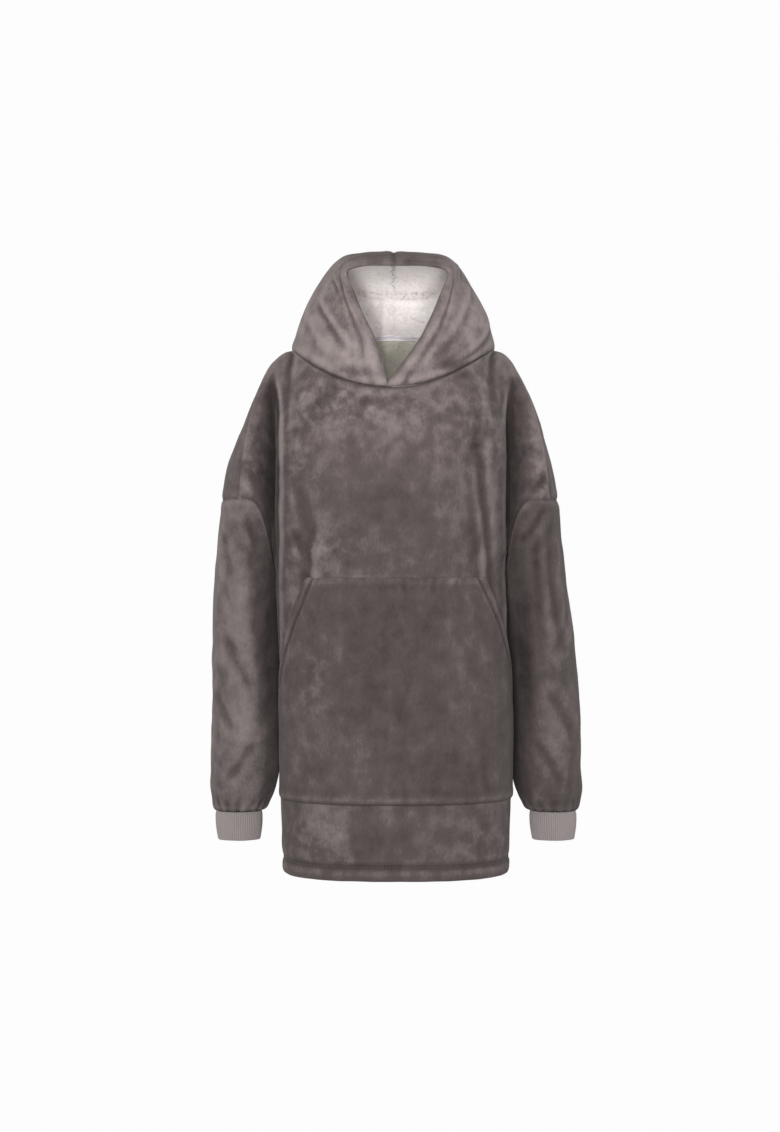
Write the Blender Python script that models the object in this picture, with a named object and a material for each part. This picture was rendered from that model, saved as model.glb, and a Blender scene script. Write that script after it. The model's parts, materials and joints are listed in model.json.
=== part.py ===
"""Oversized hooded pullover of plush fleece with a sherpa-lined hood, filled out as if worn.

The origin is at the middle of the shoulder line, where a wearer's shoulders hold the garment up.
+Z is up, -Y is the front, and +X is the wearer's left. All sizes are in metres.
"""

import math
from collections import namedtuple

import bmesh
import bpy
import numpy as np

# Cloth thicknesses and the gaps left between pieces
FLEECE = 0.0040
SHERPA = 0.0030
RIB_KNIT = 0.0026
SEAM_GAP = 0.0004
ARMHOLE_GAP = 0.0006
UNDERARM_GAP = 0.0024
NECK_GAP = 0.0013
LAY_GAP = 0.0006
LINING_GAP = 0.0010
LINING_TURN = 0.0040

# The body tube, from the hem up to the underarm
HEM_HEIGHT = -0.857
HEM_DEPTH = 0.021
HEM_PUFF = 0.0014
UNDERARM_HEIGHT = -0.372
SIDE_SQUARENESS = 2.7

# The neck seam: a tilted oval that is low in front and high at the back
NECK_HALF_WIDTH = 0.170
NECK_SIDE_DEPTH = 0.008
NECK_FRONT = 0.133
NECK_BACK = 0.090
NECK_FRONT_DROP = 0.074
NECK_BACK_RISE = 0.031

# The shoulder and upper arm: a rounded cone that widens down to the armhole seam
ARM_CENTRE = 0.2335
ARM_HALF_WIDTH = 0.044
ARM_HALF_DEPTH = 0.094
SHOULDER_FALL = 0.270
SHOULDER_ROUNDNESS = 1.8
ARMHOLE_TOP = -0.250
ARMHOLE_DROP = 0.122
ARMHOLE_FRONT_BEND = 8.0
ARMHOLE_BACK_BEND = 4.0
SHOULDER_SEAM_ANGLES = {+1: 52.0, -1: 77.0}
FRONT_VALLEY_ANGLE = 150.0
BACK_VALLEY_ANGLE = -128.0

# The whole garment leans a little to the wearer's right at the shoulders
LEAN = -0.0105
NECK_LEAN = 0.35

# Points along a row, from the middle of the body to its end, and rows up the body
HALF_COLUMNS = 15
CREST_COLUMN = 9
NECK_COLUMNS = 6
CREST_ANGLE = 62.0
FRONT_YOKE_ROWS = 9
BACK_YOKE_ROWS = 13
BODY_ROW_HEIGHTS = [-0.857, -0.846, -0.836, -0.828, -0.785, -0.737, -0.680, -0.620, -0.555, -0.490, -0.430]

TorsoSection = namedtuple("TorsoSection", "height half_width front back")
TORSO_SECTIONS = [
    TorsoSection(-0.857, 0.1850, 0.137, 0.128),
    TorsoSection(-0.800, 0.1880, 0.141, 0.131),
    TorsoSection(-0.680, 0.1890, 0.146, 0.130),
    TorsoSection(-0.520, 0.1885, 0.143, 0.122),
    TorsoSection(-0.372, 0.1890, 0.139, 0.118),
    TorsoSection(-0.220, 0.1880, 0.136, 0.124),
    TorsoSection(-0.100, 0.1830, 0.131, 0.120),
    TorsoSection(0.031, 0.1650, 0.122, 0.100),
]

# How the chest turns back beside the arm: share up the yoke, where its arc ends, and the arc's centre
FoldBack = namedtuple("FoldBack", "share end_angle arc_centre")
FRONT_FOLD_BACK = [
    FoldBack(0.00, 62.0, 0.000),
    FoldBack(0.15, 80.0, -0.020),
    FoldBack(0.35, 96.0, -0.046),
    FoldBack(0.70, 90.0, -0.048),
    FoldBack(1.00, 72.0, -0.025),
]
BACK_FOLD_BACK = [
    FoldBack(0.00, 62.0, 0.000),
    FoldBack(0.20, 68.0, 0.010),
    FoldBack(0.50, 76.0, 0.018),
    FoldBack(1.00, 66.0, 0.010),
]

# Soft troughs between two points of a panel (ridges where the depth is negative)
Fold = namedtuple("Fold", "x_top z_top x_foot z_foot width depth")
FRONT_FOLDS = [
    Fold(-0.135, -0.240, -0.146, -0.420, 0.013, 0.010),
    Fold(0.134, -0.130, 0.144, -0.375, 0.018, 0.010),
    Fold(0.055, -0.400, 0.070, -0.700, 0.024, 0.003),
    Fold(-0.075, -0.760, -0.105, -0.830, 0.018, -0.003),
]
BACK_FOLDS = [
    Fold(-0.110, -0.200, -0.100, -0.620, 0.022, 0.008),
    Fold(0.095, -0.160, 0.120, -0.540, 0.022, 0.008),
    Fold(0.010, -0.300, -0.020, -0.820, 0.028, 0.006),
]

# Sleeve sections below the armhole
SLEEVE_FOOT = -0.768
SLEEVE_ROWS = 13
SleeveSection = namedtuple("SleeveSection", "height centre depth_centre half_width half_depth")
SLEEVE_SECTIONS = [
    SleeveSection(-0.250, 0.2335, 0.000, 0.0440, 0.094),
    SleeveSection(-0.372, 0.2415, 0.012, 0.0505, 0.091),
    SleeveSection(-0.465, 0.2455, 0.022, 0.0545, 0.087),
    SleeveSection(-0.560, 0.2485, 0.028, 0.0575, 0.081),
    SleeveSection(-0.650, 0.2507, 0.032, 0.0597, 0.073),
    SleeveSection(-0.710, 0.2533, 0.032, 0.0562, 0.062),
    SleeveSection(-0.748, 0.2600, 0.031, 0.0490, 0.049),
    SleeveSection(-0.768, 0.2630, 0.030, 0.0400, 0.031),
]
SleeveFold = namedtuple("SleeveFold", "side angle top foot width depth")
SLEEVE_FOLDS = [
    SleeveFold(+1, 92.0, -0.290, -0.520, 17.0, 0.0070),
    SleeveFold(-1, 118.0, -0.300, -0.480, 18.0, 0.0060),
    SleeveFold(-1, 62.0, -0.330, -0.600, 20.0, 0.0035),
    SleeveFold(+1, -80.0, -0.340, -0.600, 20.0, 0.0070),
    SleeveFold(-1, -95.0, -0.330, -0.560, 20.0, 0.0070),
]
GATHERS = 6
GATHER_DEPTH = 0.0030
GATHER_REACH = 0.085

# Cuffs
CUFF_LENGTH = 0.046
CUFF_RIBS = 26
RIB_RISE = 0.0009
CUFF_NARROWING = 0.90
CUFF_INSET = 0.0015

# Kangaroo pocket: a hand goes in at each slanted side
POCKET_TOP = -0.378
POCKET_FOOT = -0.737
POCKET_END_COLUMN = 13
POCKET_ROWS = 9
POCKET_GAP = 0.0010
POCKET_TOP_ANGLE_LEFT = 47.5
POCKET_TOP_ANGLE_RIGHT = 38.0
POCKET_OPENING_FOOT_LEFT = -0.530
POCKET_OPENING_FOOT_RIGHT = -0.560
POCKET_GAPE = 0.0028
OPENING_GAPE = 0.0016

# Hood: its rim, and the seam over its crown and down its back
HOOD_ROWS = 11
RimPoint = namedtuple("RimPoint", "share x y z")
HOOD_RIM = [
    RimPoint(0.00, 0.0000, -0.125, -0.074),
    RimPoint(0.20, 0.0200, -0.130, -0.034),
    RimPoint(0.42, 0.0480, -0.122, 0.022),
    RimPoint(0.64, 0.0760, -0.106, 0.082),
    RimPoint(0.78, 0.0860, -0.092, 0.115),
    RimPoint(0.88, 0.0690, -0.082, 0.130),
    RimPoint(1.00, 0.0000, -0.078, 0.134),
]
SeamPoint = namedtuple("SeamPoint", "share y z")
HOOD_CROWN_SEAM = [
    SeamPoint(0.00, -0.078, 0.134),
    SeamPoint(0.25, -0.030, 0.157),
    SeamPoint(0.55, 0.068, 0.157),
    SeamPoint(0.80, 0.132, 0.141),
    SeamPoint(1.00, 0.152, 0.124),
]
HOOD_BACK_SEAM = [
    SeamPoint(0.00, 0.098, 0.031),
    SeamPoint(0.25, 0.120, 0.043),
    SeamPoint(0.50, 0.146, 0.064),
    SeamPoint(0.75, 0.162, 0.095),
    SeamPoint(1.00, 0.152, 0.124),
]
HoodSide = namedtuple("HoodSide", "share x z")
HOOD_SIDE = [
    HoodSide(0.00, 0.1700, 0.000),
    HoodSide(0.20, 0.1605, 0.036),
    HoodSide(0.40, 0.1415, 0.080),
    HoodSide(0.55, 0.1225, 0.110),
    HoodSide(0.70, 0.1010, 0.137),
    HoodSide(0.82, 0.0770, 0.153),
    HoodSide(0.91, 0.0440, 0.159),
    HoodSide(1.00, 0.0000, 0.160),
]
RIM_OVERLAP = 0.006
RIM_SHIFT = 0.006
HOOD_BACK_FULLNESS = 0.020

# Colours
FLEECE_COLOUR = (0.135, 0.112, 0.110, 1.0)
SHERPA_COLOUR = (0.700, 0.650, 0.630, 1.0)
RIB_COLOUR = (0.265, 0.232, 0.230, 1.0)


def smooth(value):
    """Eases from 0 to 1 as value goes from 0 to 1."""
    clipped = min(1.0, max(0.0, value))
    return clipped * clipped * (3.0 - 2.0 * clipped)


def read_table(rows, key):
    """All columns of a table at key, on a smooth curve through its rows. The first column is the key."""
    table = np.array(rows, dtype=float)
    if table[0, 0] > table[-1, 0]:
        table = table[::-1]
    keys = table[:, 0]
    key = min(keys[-1], max(keys[0], key))
    slopes = np.gradient(table, keys, axis=0)
    low = min(len(keys) - 2, max(0, int(np.searchsorted(keys, key)) - 1))
    span = keys[low + 1] - keys[low]
    t = (key - keys[low]) / span
    return (
        (2 * t**3 - 3 * t**2 + 1) * table[low]
        + (t**3 - 2 * t**2 + t) * span * slopes[low]
        + (-2 * t**3 + 3 * t**2) * table[low + 1]
        + (t**3 - t**2) * span * slopes[low + 1]
    )


def sine_power(degrees, power):
    """Sine raised to a power that keeps its sign."""
    value = math.sin(math.radians(degrees))
    return math.copysign(abs(value) ** power, value)


def closing(share):
    """How far a yoke row has closed in on the top edge."""
    late = min(1.0, max(0.0, (share - 0.45) / 0.55))
    return late * late * (2.0 - late)


def lean(point):
    """Moves a point sideways as the garment leans."""
    share = smooth((point[2] + 0.62) / 0.30) * (1.0 - (1.0 - NECK_LEAN) * smooth((point[2] + 0.045) / 0.06))
    return np.array([point[0] + LEAN * share, point[1], point[2]])


def neck_point(turn):
    """A point of the neck seam. turn is 0 at centre front, 1 at the shoulder and 2 at centre back."""
    across = math.sin(turn * math.pi / 2)
    along = math.cos(turn * math.pi / 2)
    depth, rise = (NECK_FRONT, -NECK_FRONT_DROP) if turn <= 1 else (NECK_BACK, NECK_BACK_RISE)
    return np.array([NECK_HALF_WIDTH * across, NECK_SIDE_DEPTH - depth * along, rise * along * along])


def shoulder_spread(height):
    """How far the shoulder has widened at a height: 0 on the shoulder line, 1 at the upper arm."""
    left = max(0.0, 1.0 + min(0.0, height) / SHOULDER_FALL)
    return (1.0 - left**SHOULDER_ROUNDNESS) ** (1.0 / SHOULDER_ROUNDNESS)


def upper_arm_point(angle, height):
    """A point of the shoulder and upper arm. angle is 0 outside, 90 in front and 180 next to the body."""
    spread = shoulder_spread(height)
    turn = math.radians(angle)
    return np.array([
        NECK_HALF_WIDTH + (ARM_CENTRE - NECK_HALF_WIDTH + ARM_HALF_WIDTH * math.cos(turn)) * spread,
        NECK_SIDE_DEPTH * (1.0 - spread) - ARM_HALF_DEPTH * math.sin(turn) * spread,
        height,
    ])


def armhole_height(angle):
    """Height of the armhole seam at an angle round the arm."""
    inward = (1.0 - math.cos(math.radians(angle))) / 2
    bend = ARMHOLE_FRONT_BEND if angle > 0 else ARMHOLE_BACK_BEND
    return ARMHOLE_TOP - ARMHOLE_DROP * inward**bend


def armhole_point(angle):
    """A point of the armhole seam, on the wearer's left."""
    point = upper_arm_point(angle, -SHOULDER_FALL)
    point[2] = armhole_height(angle)
    return point


def shoulder_seam_point(share, side):
    """A point of the shoulder seam, from the neck (0) to the armhole (1)."""
    angle = SHOULDER_SEAM_ANGLES[side]
    foot = armhole_height(angle)
    height = foot * (1.0 - math.cos(share * math.pi / 2) ** (2.0 / SHOULDER_ROUNDNESS))
    point = upper_arm_point(angle, height)
    end = armhole_point(angle)
    return point + (end - upper_arm_point(angle, foot)) * smooth(share)


def body_angle(column):
    """Angle round the body at a column: 0 in the middle, 90 at the side seam."""
    if column <= CREST_COLUMN:
        return CREST_ANGLE * column / CREST_COLUMN
    return CREST_ANGLE + (90.0 - CREST_ANGLE) * (column - CREST_COLUMN) / (HALF_COLUMNS - CREST_COLUMN)


def hem_puff(height):
    """How far the turned-up hem stands out, with a nip at its stitch line."""
    above = (height - HEM_HEIGHT) / HEM_DEPTH
    if above > 1.2:
        return 0.0
    return HEM_PUFF if above < 0.9 else -0.6 * HEM_PUFF


def fold_relief(point, folds):
    """How deep the folds of a panel are at a point."""
    depth = 0.0
    for fold in folds:
        run = fold.z_foot - fold.z_top
        along = (point[2] - fold.z_top) / run
        line_x = fold.x_top + (fold.x_foot - fold.x_top) * along
        ends = smooth((along + 0.15) / 0.35) * smooth((1.15 - along) / 0.35)
        depth += fold.depth * ends * math.exp(-((point[0] - line_x) / fold.width) ** 2)
    return depth


def body_point(angle, height, front):
    """A point of the body tube. angle is signed, 0 in the middle and 90 at the wearer's left side."""
    section = TorsoSection(*read_table(TORSO_SECTIONS, height))
    power = 2.0 / SIDE_SQUARENESS
    puff = hem_puff(height)
    depth = -(section.front + puff) if front else section.back + puff
    return np.array([
        (section.half_width + puff) * sine_power(angle, power),
        depth * sine_power(90.0 - angle, power),
        height,
    ])


def top_edge_point(column, side):
    """A point of a panel's top edge: the front neck seam, then the shoulder seam."""
    if column <= NECK_COLUMNS:
        return neck_point(column / NECK_COLUMNS)
    return shoulder_seam_point((column - NECK_COLUMNS) / (HALF_COLUMNS - NECK_COLUMNS), side)


def back_top_edge_point(column, side):
    """The same for the back panel."""
    if column <= NECK_COLUMNS:
        return neck_point(2.0 - column / NECK_COLUMNS)
    return shoulder_seam_point((column - NECK_COLUMNS) / (HALF_COLUMNS - NECK_COLUMNS), side)


def seam_angle(share, front, side):
    """Angle round the arm where a row of the yoke meets the armhole seam."""
    if front:
        return 180.0 + (SHOULDER_SEAM_ANGLES[side] - 180.0) * share
    return -180.0 + (SHOULDER_SEAM_ANGLES[side] + 180.0) * share


def chest_point(column, share, height, top, front):
    """A point of the chest or upper back, on the wearer's left. Near the top edge it closes in on it."""
    facing = 1.0 if front else -1.0
    fold = FoldBack(*read_table(FRONT_FOLD_BACK if front else BACK_FOLD_BACK, share))
    section = TorsoSection(*read_table(TORSO_SECTIONS, height))
    reach = section.front + fold.arc_centre if front else section.back - fold.arc_centre
    power = 2.0 / SIDE_SQUARENESS
    angle = fold.end_angle * column / CREST_COLUMN
    point = np.array([
        section.half_width * sine_power(angle, power),
        fold.arc_centre - facing * reach * sine_power(90.0 - angle, power),
        height,
    ])
    return point + (top - point) * closing(share)


def yoke_point(column, share, front, side):
    """A point above the underarm, as on the wearer's left. share is 0 at the underarm and 1 at the top edge."""
    edge = (top_edge_point if front else back_top_edge_point)(column, side)
    top_angle = SHOULDER_SEAM_ANGLES[side]
    end_angle = seam_angle(share, front, side)
    armhole_rise = armhole_height(top_angle) - UNDERARM_HEIGHT
    armhole_share = (armhole_height(end_angle) - UNDERARM_HEIGHT) / armhole_rise

    def row_height(outward, top):
        climb = share + (armhole_share - share) * smooth(outward)
        return UNDERARM_HEIGHT + (top[2] - UNDERARM_HEIGHT) * climb

    if column <= CREST_COLUMN:
        return chest_point(column, share, row_height(0.0, edge), edge, front)

    # Beyond the fold the cloth goes round the arm, and closes in on the shoulder seam near the top
    outward = (column - CREST_COLUMN) / (HALF_COLUMNS - CREST_COLUMN)
    height = row_height(outward, edge)
    near_top = closing(share)
    valley = FRONT_VALLEY_ANGLE if front else BACK_VALLEY_ANGLE
    turned = valley + (end_angle - valley) * outward + near_top * (top_angle - valley) * (1.0 - outward)
    crest_edge = (top_edge_point if front else back_top_edge_point)(CREST_COLUMN, side)
    crest_height = row_height(0.0, crest_edge)
    crest = chest_point(CREST_COLUMN, share, crest_height, crest_edge, front)
    first = upper_arm_point(valley + near_top * (top_angle - valley), crest_height)
    seam_shift = armhole_point(end_angle) - upper_arm_point(end_angle, armhole_height(end_angle))
    arm = upper_arm_point(turned, height)
    folded = arm + (crest - first) * (1.0 - outward) ** 2 + seam_shift * outward**3
    tube = body_point(body_angle(column), height, front)
    blend = smooth(share / 0.2)
    return np.array([tube[0] + (folded[0] - tube[0]) * blend, tube[1] + (folded[1] - tube[1]) * blend, folded[2]])


def panel_point(column, level, front):
    """A point of the front or back. column is signed. level is a height up to the underarm, then a share."""
    side = -1 if column < 0 else 1
    if level < 0:
        point = body_point(body_angle(abs(column)), level, front)
    else:
        point = yoke_point(abs(column), level, front, side)
    point[0] *= side
    relief = fold_relief(point, FRONT_FOLDS if front else BACK_FOLDS)
    point[1] += relief if front else -relief
    return lean(point)


def panel_levels(front):
    """The rows of a panel: heights up to the underarm, then shares up the yoke."""
    rows = FRONT_YOKE_ROWS if front else BACK_YOKE_ROWS
    return BODY_ROW_HEIGHTS + [row / rows for row in range(rows + 1)]


def panel_grid(front):
    """All points of the front or back."""
    columns = range(-HALF_COLUMNS, HALF_COLUMNS + 1)
    return np.array([[panel_point(column, level, front) for column in columns] for level in panel_levels(front)])


def unit(vectors):
    """Vectors at length one."""
    return vectors / np.maximum(np.linalg.norm(vectors, axis=-1, keepdims=True), 1e-12)


def sheet_normals(points, around=False, flip=False):
    """Outward directions of a sheet of points."""
    along = np.gradient(points, axis=0)
    if around:
        across = np.roll(points, -1, axis=1) - np.roll(points, 1, axis=1)
    else:
        across = np.gradient(points, axis=1)
    normals = unit(np.cross(across, along))
    return -normals if flip else normals


def draw_back(points, edge, distance):
    """Moves one edge of a sheet back into it, to leave a seam gap."""
    sheet = points if edge in ("first_row", "last_row") else points.transpose(1, 0, 2)
    place, neighbour = (0, 1) if edge.startswith("first") else (-1, -2)
    sheet[place] = sheet[place] + unit(sheet[neighbour] - sheet[place]) * distance


def wall(name, points, thickness, material, normals, around=False):
    """A closed wall of cloth whose outer side is the given sheet."""
    mesh = bmesh.new()
    layers = []
    for layer in (points, points - thickness * normals):
        layers.append([[mesh.verts.new(point) for point in row] for row in layer])
    rows, columns = points.shape[:2]
    last = columns if around else columns - 1
    for layer in layers:
        for row in range(rows - 1):
            for column in range(last):
                after = (column + 1) % columns
                mesh.faces.new((layer[row][column], layer[row][after], layer[row + 1][after], layer[row + 1][column]))
    outer, inner = layers
    for row in (0, rows - 1):
        for column in range(last):
            after = (column + 1) % columns
            mesh.faces.new((outer[row][column], outer[row][after], inner[row][after], inner[row][column]))
    if not around:
        for column in (0, columns - 1):
            for row in range(rows - 1):
                mesh.faces.new((outer[row][column], outer[row + 1][column], inner[row + 1][column], inner[row][column]))
    bmesh.ops.recalc_face_normals(mesh, faces=mesh.faces)
    data = bpy.data.meshes.new(name)
    mesh.to_mesh(data)
    mesh.free()
    data.materials.append(material)
    data.shade_smooth()
    data.set_sharp_from_angle(angle=math.radians(50))
    piece = bpy.data.objects.new(name, data)
    bpy.data.collections[COLLECTION].objects.link(piece)
    return piece


def make_material(name, colour, roughness):
    """A plain cloth material."""
    material = bpy.data.materials.new(name)
    material.use_nodes = True
    shader = material.node_tree.nodes["Principled BSDF"]
    shader.inputs["Base Color"].default_value = colour
    shader.inputs["Roughness"].default_value = roughness
    shader.inputs["Metallic"].default_value = 0.0
    return material


def armhole_direction(angle, side, own):
    """Outward direction at the armhole seam: away from the arm, and the cloth's own next to the body."""
    turn = math.radians(angle)
    away = unit(np.array([
        side * math.cos(turn) / ARM_HALF_WIDTH,
        -math.sin(turn) / ARM_HALF_DEPTH,
        0.0,
    ]))
    share = smooth((150.0 - abs(angle)) / 30.0)
    return unit(away * share + own * (1.0 - share))


def panel_sheet(front):
    """Points and outward directions of the front or back, drawn back at its seams."""
    points = panel_grid(front)
    draw_back(points, "last_row", SEAM_GAP / 2)
    draw_back(points, "first_column", SEAM_GAP / 2)
    draw_back(points, "last_column", SEAM_GAP / 2)
    normals = sheet_normals(points, flip=not front)
    for row, level in enumerate(panel_levels(front)):
        for column, side in ((0, -1), (-1, 1)):
            if level <= 0:
                normals[row, column] = (side, 0.0, 0.0)
            else:
                normals[row, column] = armhole_direction(seam_angle(level, front, side), side, normals[row, column])
    return points, normals


def share_direction(first, first_spot, second, second_spot):
    """Gives two sheets one outward direction where they meet, so that their walls meet edge to edge."""
    shared = unit(first[first_spot] + second[second_spot])
    first[first_spot] = shared
    second[second_spot] = shared


def join_top_edges(front_normals, back_normals, hood_normals):
    """Joins front to back along the shoulder seams, and both to the hood along the neck seam."""
    for side in (1, -1):
        for column in range(NECK_COLUMNS, HALF_COLUMNS + 1):
            spot = (-1, HALF_COLUMNS + side * column)
            share_direction(front_normals, spot, back_normals, spot)
        for column in range(NECK_COLUMNS + 1):
            spot = (-1, HALF_COLUMNS + side * column)
            share_direction(front_normals, spot, hood_normals[side], (0, column))
            share_direction(back_normals, spot, hood_normals[side], (0, 2 * NECK_COLUMNS - column))


def sleeve_angles(side):
    """Angles of the points round a sleeve, which are those of the armhole seam's rows."""
    front = [seam_angle(row / FRONT_YOKE_ROWS, True, side) for row in range(FRONT_YOKE_ROWS, 0, -1)]
    back = [seam_angle(row / BACK_YOKE_ROWS, False, side) for row in range(0, BACK_YOKE_ROWS)]
    return front + back


def sleeve_ring_point(angle, height, side):
    """A point of a sleeve's section at a height."""
    section = SleeveSection(*read_table(SLEEVE_SECTIONS, height))
    turn = math.radians(angle)
    foot_share = smooth(1.0 - (height - SLEEVE_FOOT) / GATHER_REACH)
    gather = GATHER_DEPTH * math.cos(GATHERS * turn) * foot_share * (1.0 - 0.6 * smooth(foot_share * 2 - 1))
    dent = 0.0
    for fold in SLEEVE_FOLDS:
        if fold.side == side:
            off = (angle - fold.angle + 180.0) % 360.0 - 180.0
            along = (fold.top - height) / (fold.top - fold.foot)
            ends = smooth((along + 0.15) / 0.35) * smooth((1.15 - along) / 0.35)
            dent += fold.depth * ends * math.exp(-((off / fold.width) ** 2))
    swell = gather - dent
    return np.array([
        section.centre + (section.half_width + swell) * math.cos(turn),
        section.depth_centre - (section.half_depth + swell) * math.sin(turn),
        height,
    ])


def sleeve_point(angle, share, side):
    """A point of a sleeve. share is 0 at the armhole seam and 1 at the cuff."""
    top = armhole_height(angle)
    height = top + (SLEEVE_FOOT - top) * share
    point = sleeve_ring_point(angle, height, side)
    shift = armhole_point(angle) - sleeve_ring_point(angle, top, side)
    point = point + shift * (1.0 - smooth(share / 0.30))
    point[0] *= side
    return lean(point)


def make_sleeve(side, name, material):
    """A sleeve tube from the armhole seam to the cuff."""
    shares = [(row / SLEEVE_ROWS) ** 0.9 for row in range(SLEEVE_ROWS + 1)]
    angles = sleeve_angles(side)
    points = np.array([[sleeve_point(angle, share, side) for angle in angles] for share in shares])
    gaps = [ARMHOLE_GAP + (UNDERARM_GAP - ARMHOLE_GAP) * smooth((abs(angle) - 110.0) / 25.0) for angle in angles]
    draw_back(points, "first_row", np.array(gaps)[:, None])
    normals = sheet_normals(points, around=True, flip=side < 0)
    for column, angle in enumerate(angles):
        normals[0, column] = armhole_direction(angle, side, normals[0, column])
    return wall(name, points, FLEECE, material, normals, around=True)


def make_cuff(side, name, material):
    """A rib-knit cuff: its ribs stand up from a wall with a plain inside."""
    section = SleeveSection(*read_table(SLEEVE_SECTIONS, SLEEVE_FOOT))
    outer, inner = [], []
    for share in (0.0, 0.5, 1.0):
        narrow = 1.0 + (CUFF_NARROWING - 1.0) * share
        height = SLEEVE_FOOT - SEAM_GAP - CUFF_LENGTH * share
        rings = ([], [])
        for step in range(2 * CUFF_RIBS):
            turn = math.pi * step / CUFF_RIBS
            rib = RIB_RISE if step % 2 == 0 else 0.0
            for ring, grow in zip(rings, (rib, -RIB_KNIT)):
                ring.append(lean(np.array([
                    side * (section.centre + ((section.half_width - CUFF_INSET) * narrow + grow) * math.cos(turn)),
                    section.depth_centre - ((section.half_depth - CUFF_INSET) * narrow + grow) * math.sin(turn),
                    height,
                ])))
        outer.append(rings[0])
        inner.append(rings[1])
    outer, inner = np.array(outer), np.array(inner)
    return wall(name, outer, 1.0, material, outer - inner, around=True)


def pocket_sheet():
    """Points and outward directions of the pocket: those of the front, moved out."""
    points, spots = [], []
    for row in range(POCKET_ROWS + 1):
        share = row / POCKET_ROWS
        height = POCKET_FOOT + (POCKET_TOP - POCKET_FOOT) * share
        ends = []
        for top_angle, opening_foot in (
            (POCKET_TOP_ANGLE_RIGHT, POCKET_OPENING_FOOT_RIGHT),
            (POCKET_TOP_ANGLE_LEFT, POCKET_OPENING_FOOT_LEFT),
        ):
            up = max(0.0, (height - opening_foot) / (POCKET_TOP - opening_foot))
            ends.append((1.0 + (top_angle / body_angle(POCKET_END_COLUMN) - 1.0) * up, up))
        points_row, spots_row = [], []
        for column in range(-POCKET_END_COLUMN, POCKET_END_COLUMN + 1):
            across = column / POCKET_END_COLUMN
            width, up = ends[1] if column > 0 else ends[0]
            angle = math.copysign(body_angle(abs(column)), column) * width
            mouth = OPENING_GAPE * math.sin(math.pi * min(1.0, up)) * abs(across) ** 4
            belly = POCKET_GAPE * math.sin(math.pi * share) * (1.0 - across**4)
            point = body_point(angle, height, True)
            point[1] += fold_relief(point, FRONT_FOLDS)
            points_row.append(lean(point))
            spots_row.append(FLEECE + POCKET_GAP + belly + mouth)
        points.append(points_row)
        spots.append(spots_row)
    points = np.array(points)
    normals = sheet_normals(points)
    moved = points + normals * np.array(spots)[:, :, None]
    return moved, sheet_normals(moved)


def hood_point(along, up, side):
    """A point of a hood half. along goes from the rim to the back seam, up from the neck to the crown."""
    neck = neck_point(2.0 * along)
    rim = read_table(HOOD_RIM, up)[1:]
    back = np.array([0.0, *read_table(HOOD_BACK_SEAM, up)[1:]])
    crown = np.array([0.0, *read_table(HOOD_CROWN_SEAM, along)[1:]])

    def stretched(share, neck_side, crown_side):
        ahead = 1.0 - share**3
        front_corners = (1 - up) * neck_point(0.0) + up * np.array([0.0, *HOOD_CROWN_SEAM[0][1:]])
        back_corners = (1 - up) * neck_point(2.0) + up * np.array([0.0, *HOOD_CROWN_SEAM[-1][1:]])
        across = (1 - up) * neck_side + up * crown_side
        return across + ahead * (rim - front_corners) + (1 - ahead) * (back - back_corners)

    middle = stretched(0.5, neck_point(1.0), np.array([0.0, *read_table(HOOD_CROWN_SEAM, 0.5)[1:]]))
    side_row = HoodSide(*read_table(HOOD_SIDE, up))
    swell = np.array([side_row.x - middle[0], 0.0, side_row.z - middle[2]])
    fullness = 1.0 - abs(2.0 * along - 1.0) ** (4.0 if along > 0.5 else 2.0)
    point = stretched(along, neck, crown) + swell * fullness
    point[1] += HOOD_BACK_FULLNESS * max(0.0, math.sin(math.pi * (2.0 * along - 1.0))) * 4.0 * up * (1.0 - up)
    lap = RIM_OVERLAP * (1.0 - smooth(up / 0.20))
    aside = RIM_SHIFT * smooth(up / 0.35) * (1.0 - smooth(along / 0.60)) * (1.0 - smooth((up - 0.80) / 0.20))
    point[0] = side * max(0.0, point[0]) - 0.5 * lap * (1.0 - smooth(along / 0.08)) + aside
    point[1] -= side * lap * (1.0 - smooth(along / 0.20))
    return lean(point)


def hood_sheet(side):
    """Points and outward directions of a hood half."""
    alongs = [column / (2 * NECK_COLUMNS) for column in range(2 * NECK_COLUMNS + 1)]
    ups = [row / HOOD_ROWS for row in range(HOOD_ROWS + 1)]
    points = np.array([[hood_point(along, up, side) for along in alongs] for up in ups])
    normals = sheet_normals(points, flip=side < 0)

    # Along the centre seam both halves face straight up and back
    seam = np.concatenate([points[:, -1], points[-1, -2::-1]])
    runs = np.gradient(seam, axis=0)
    facing = unit(np.stack([np.zeros(len(runs)), runs[:, 2], -runs[:, 1]], axis=1))
    normals[:, -1] = facing[:HOOD_ROWS + 1]
    normals[-1] = facing[HOOD_ROWS:][::-1]
    return points, normals


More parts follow.
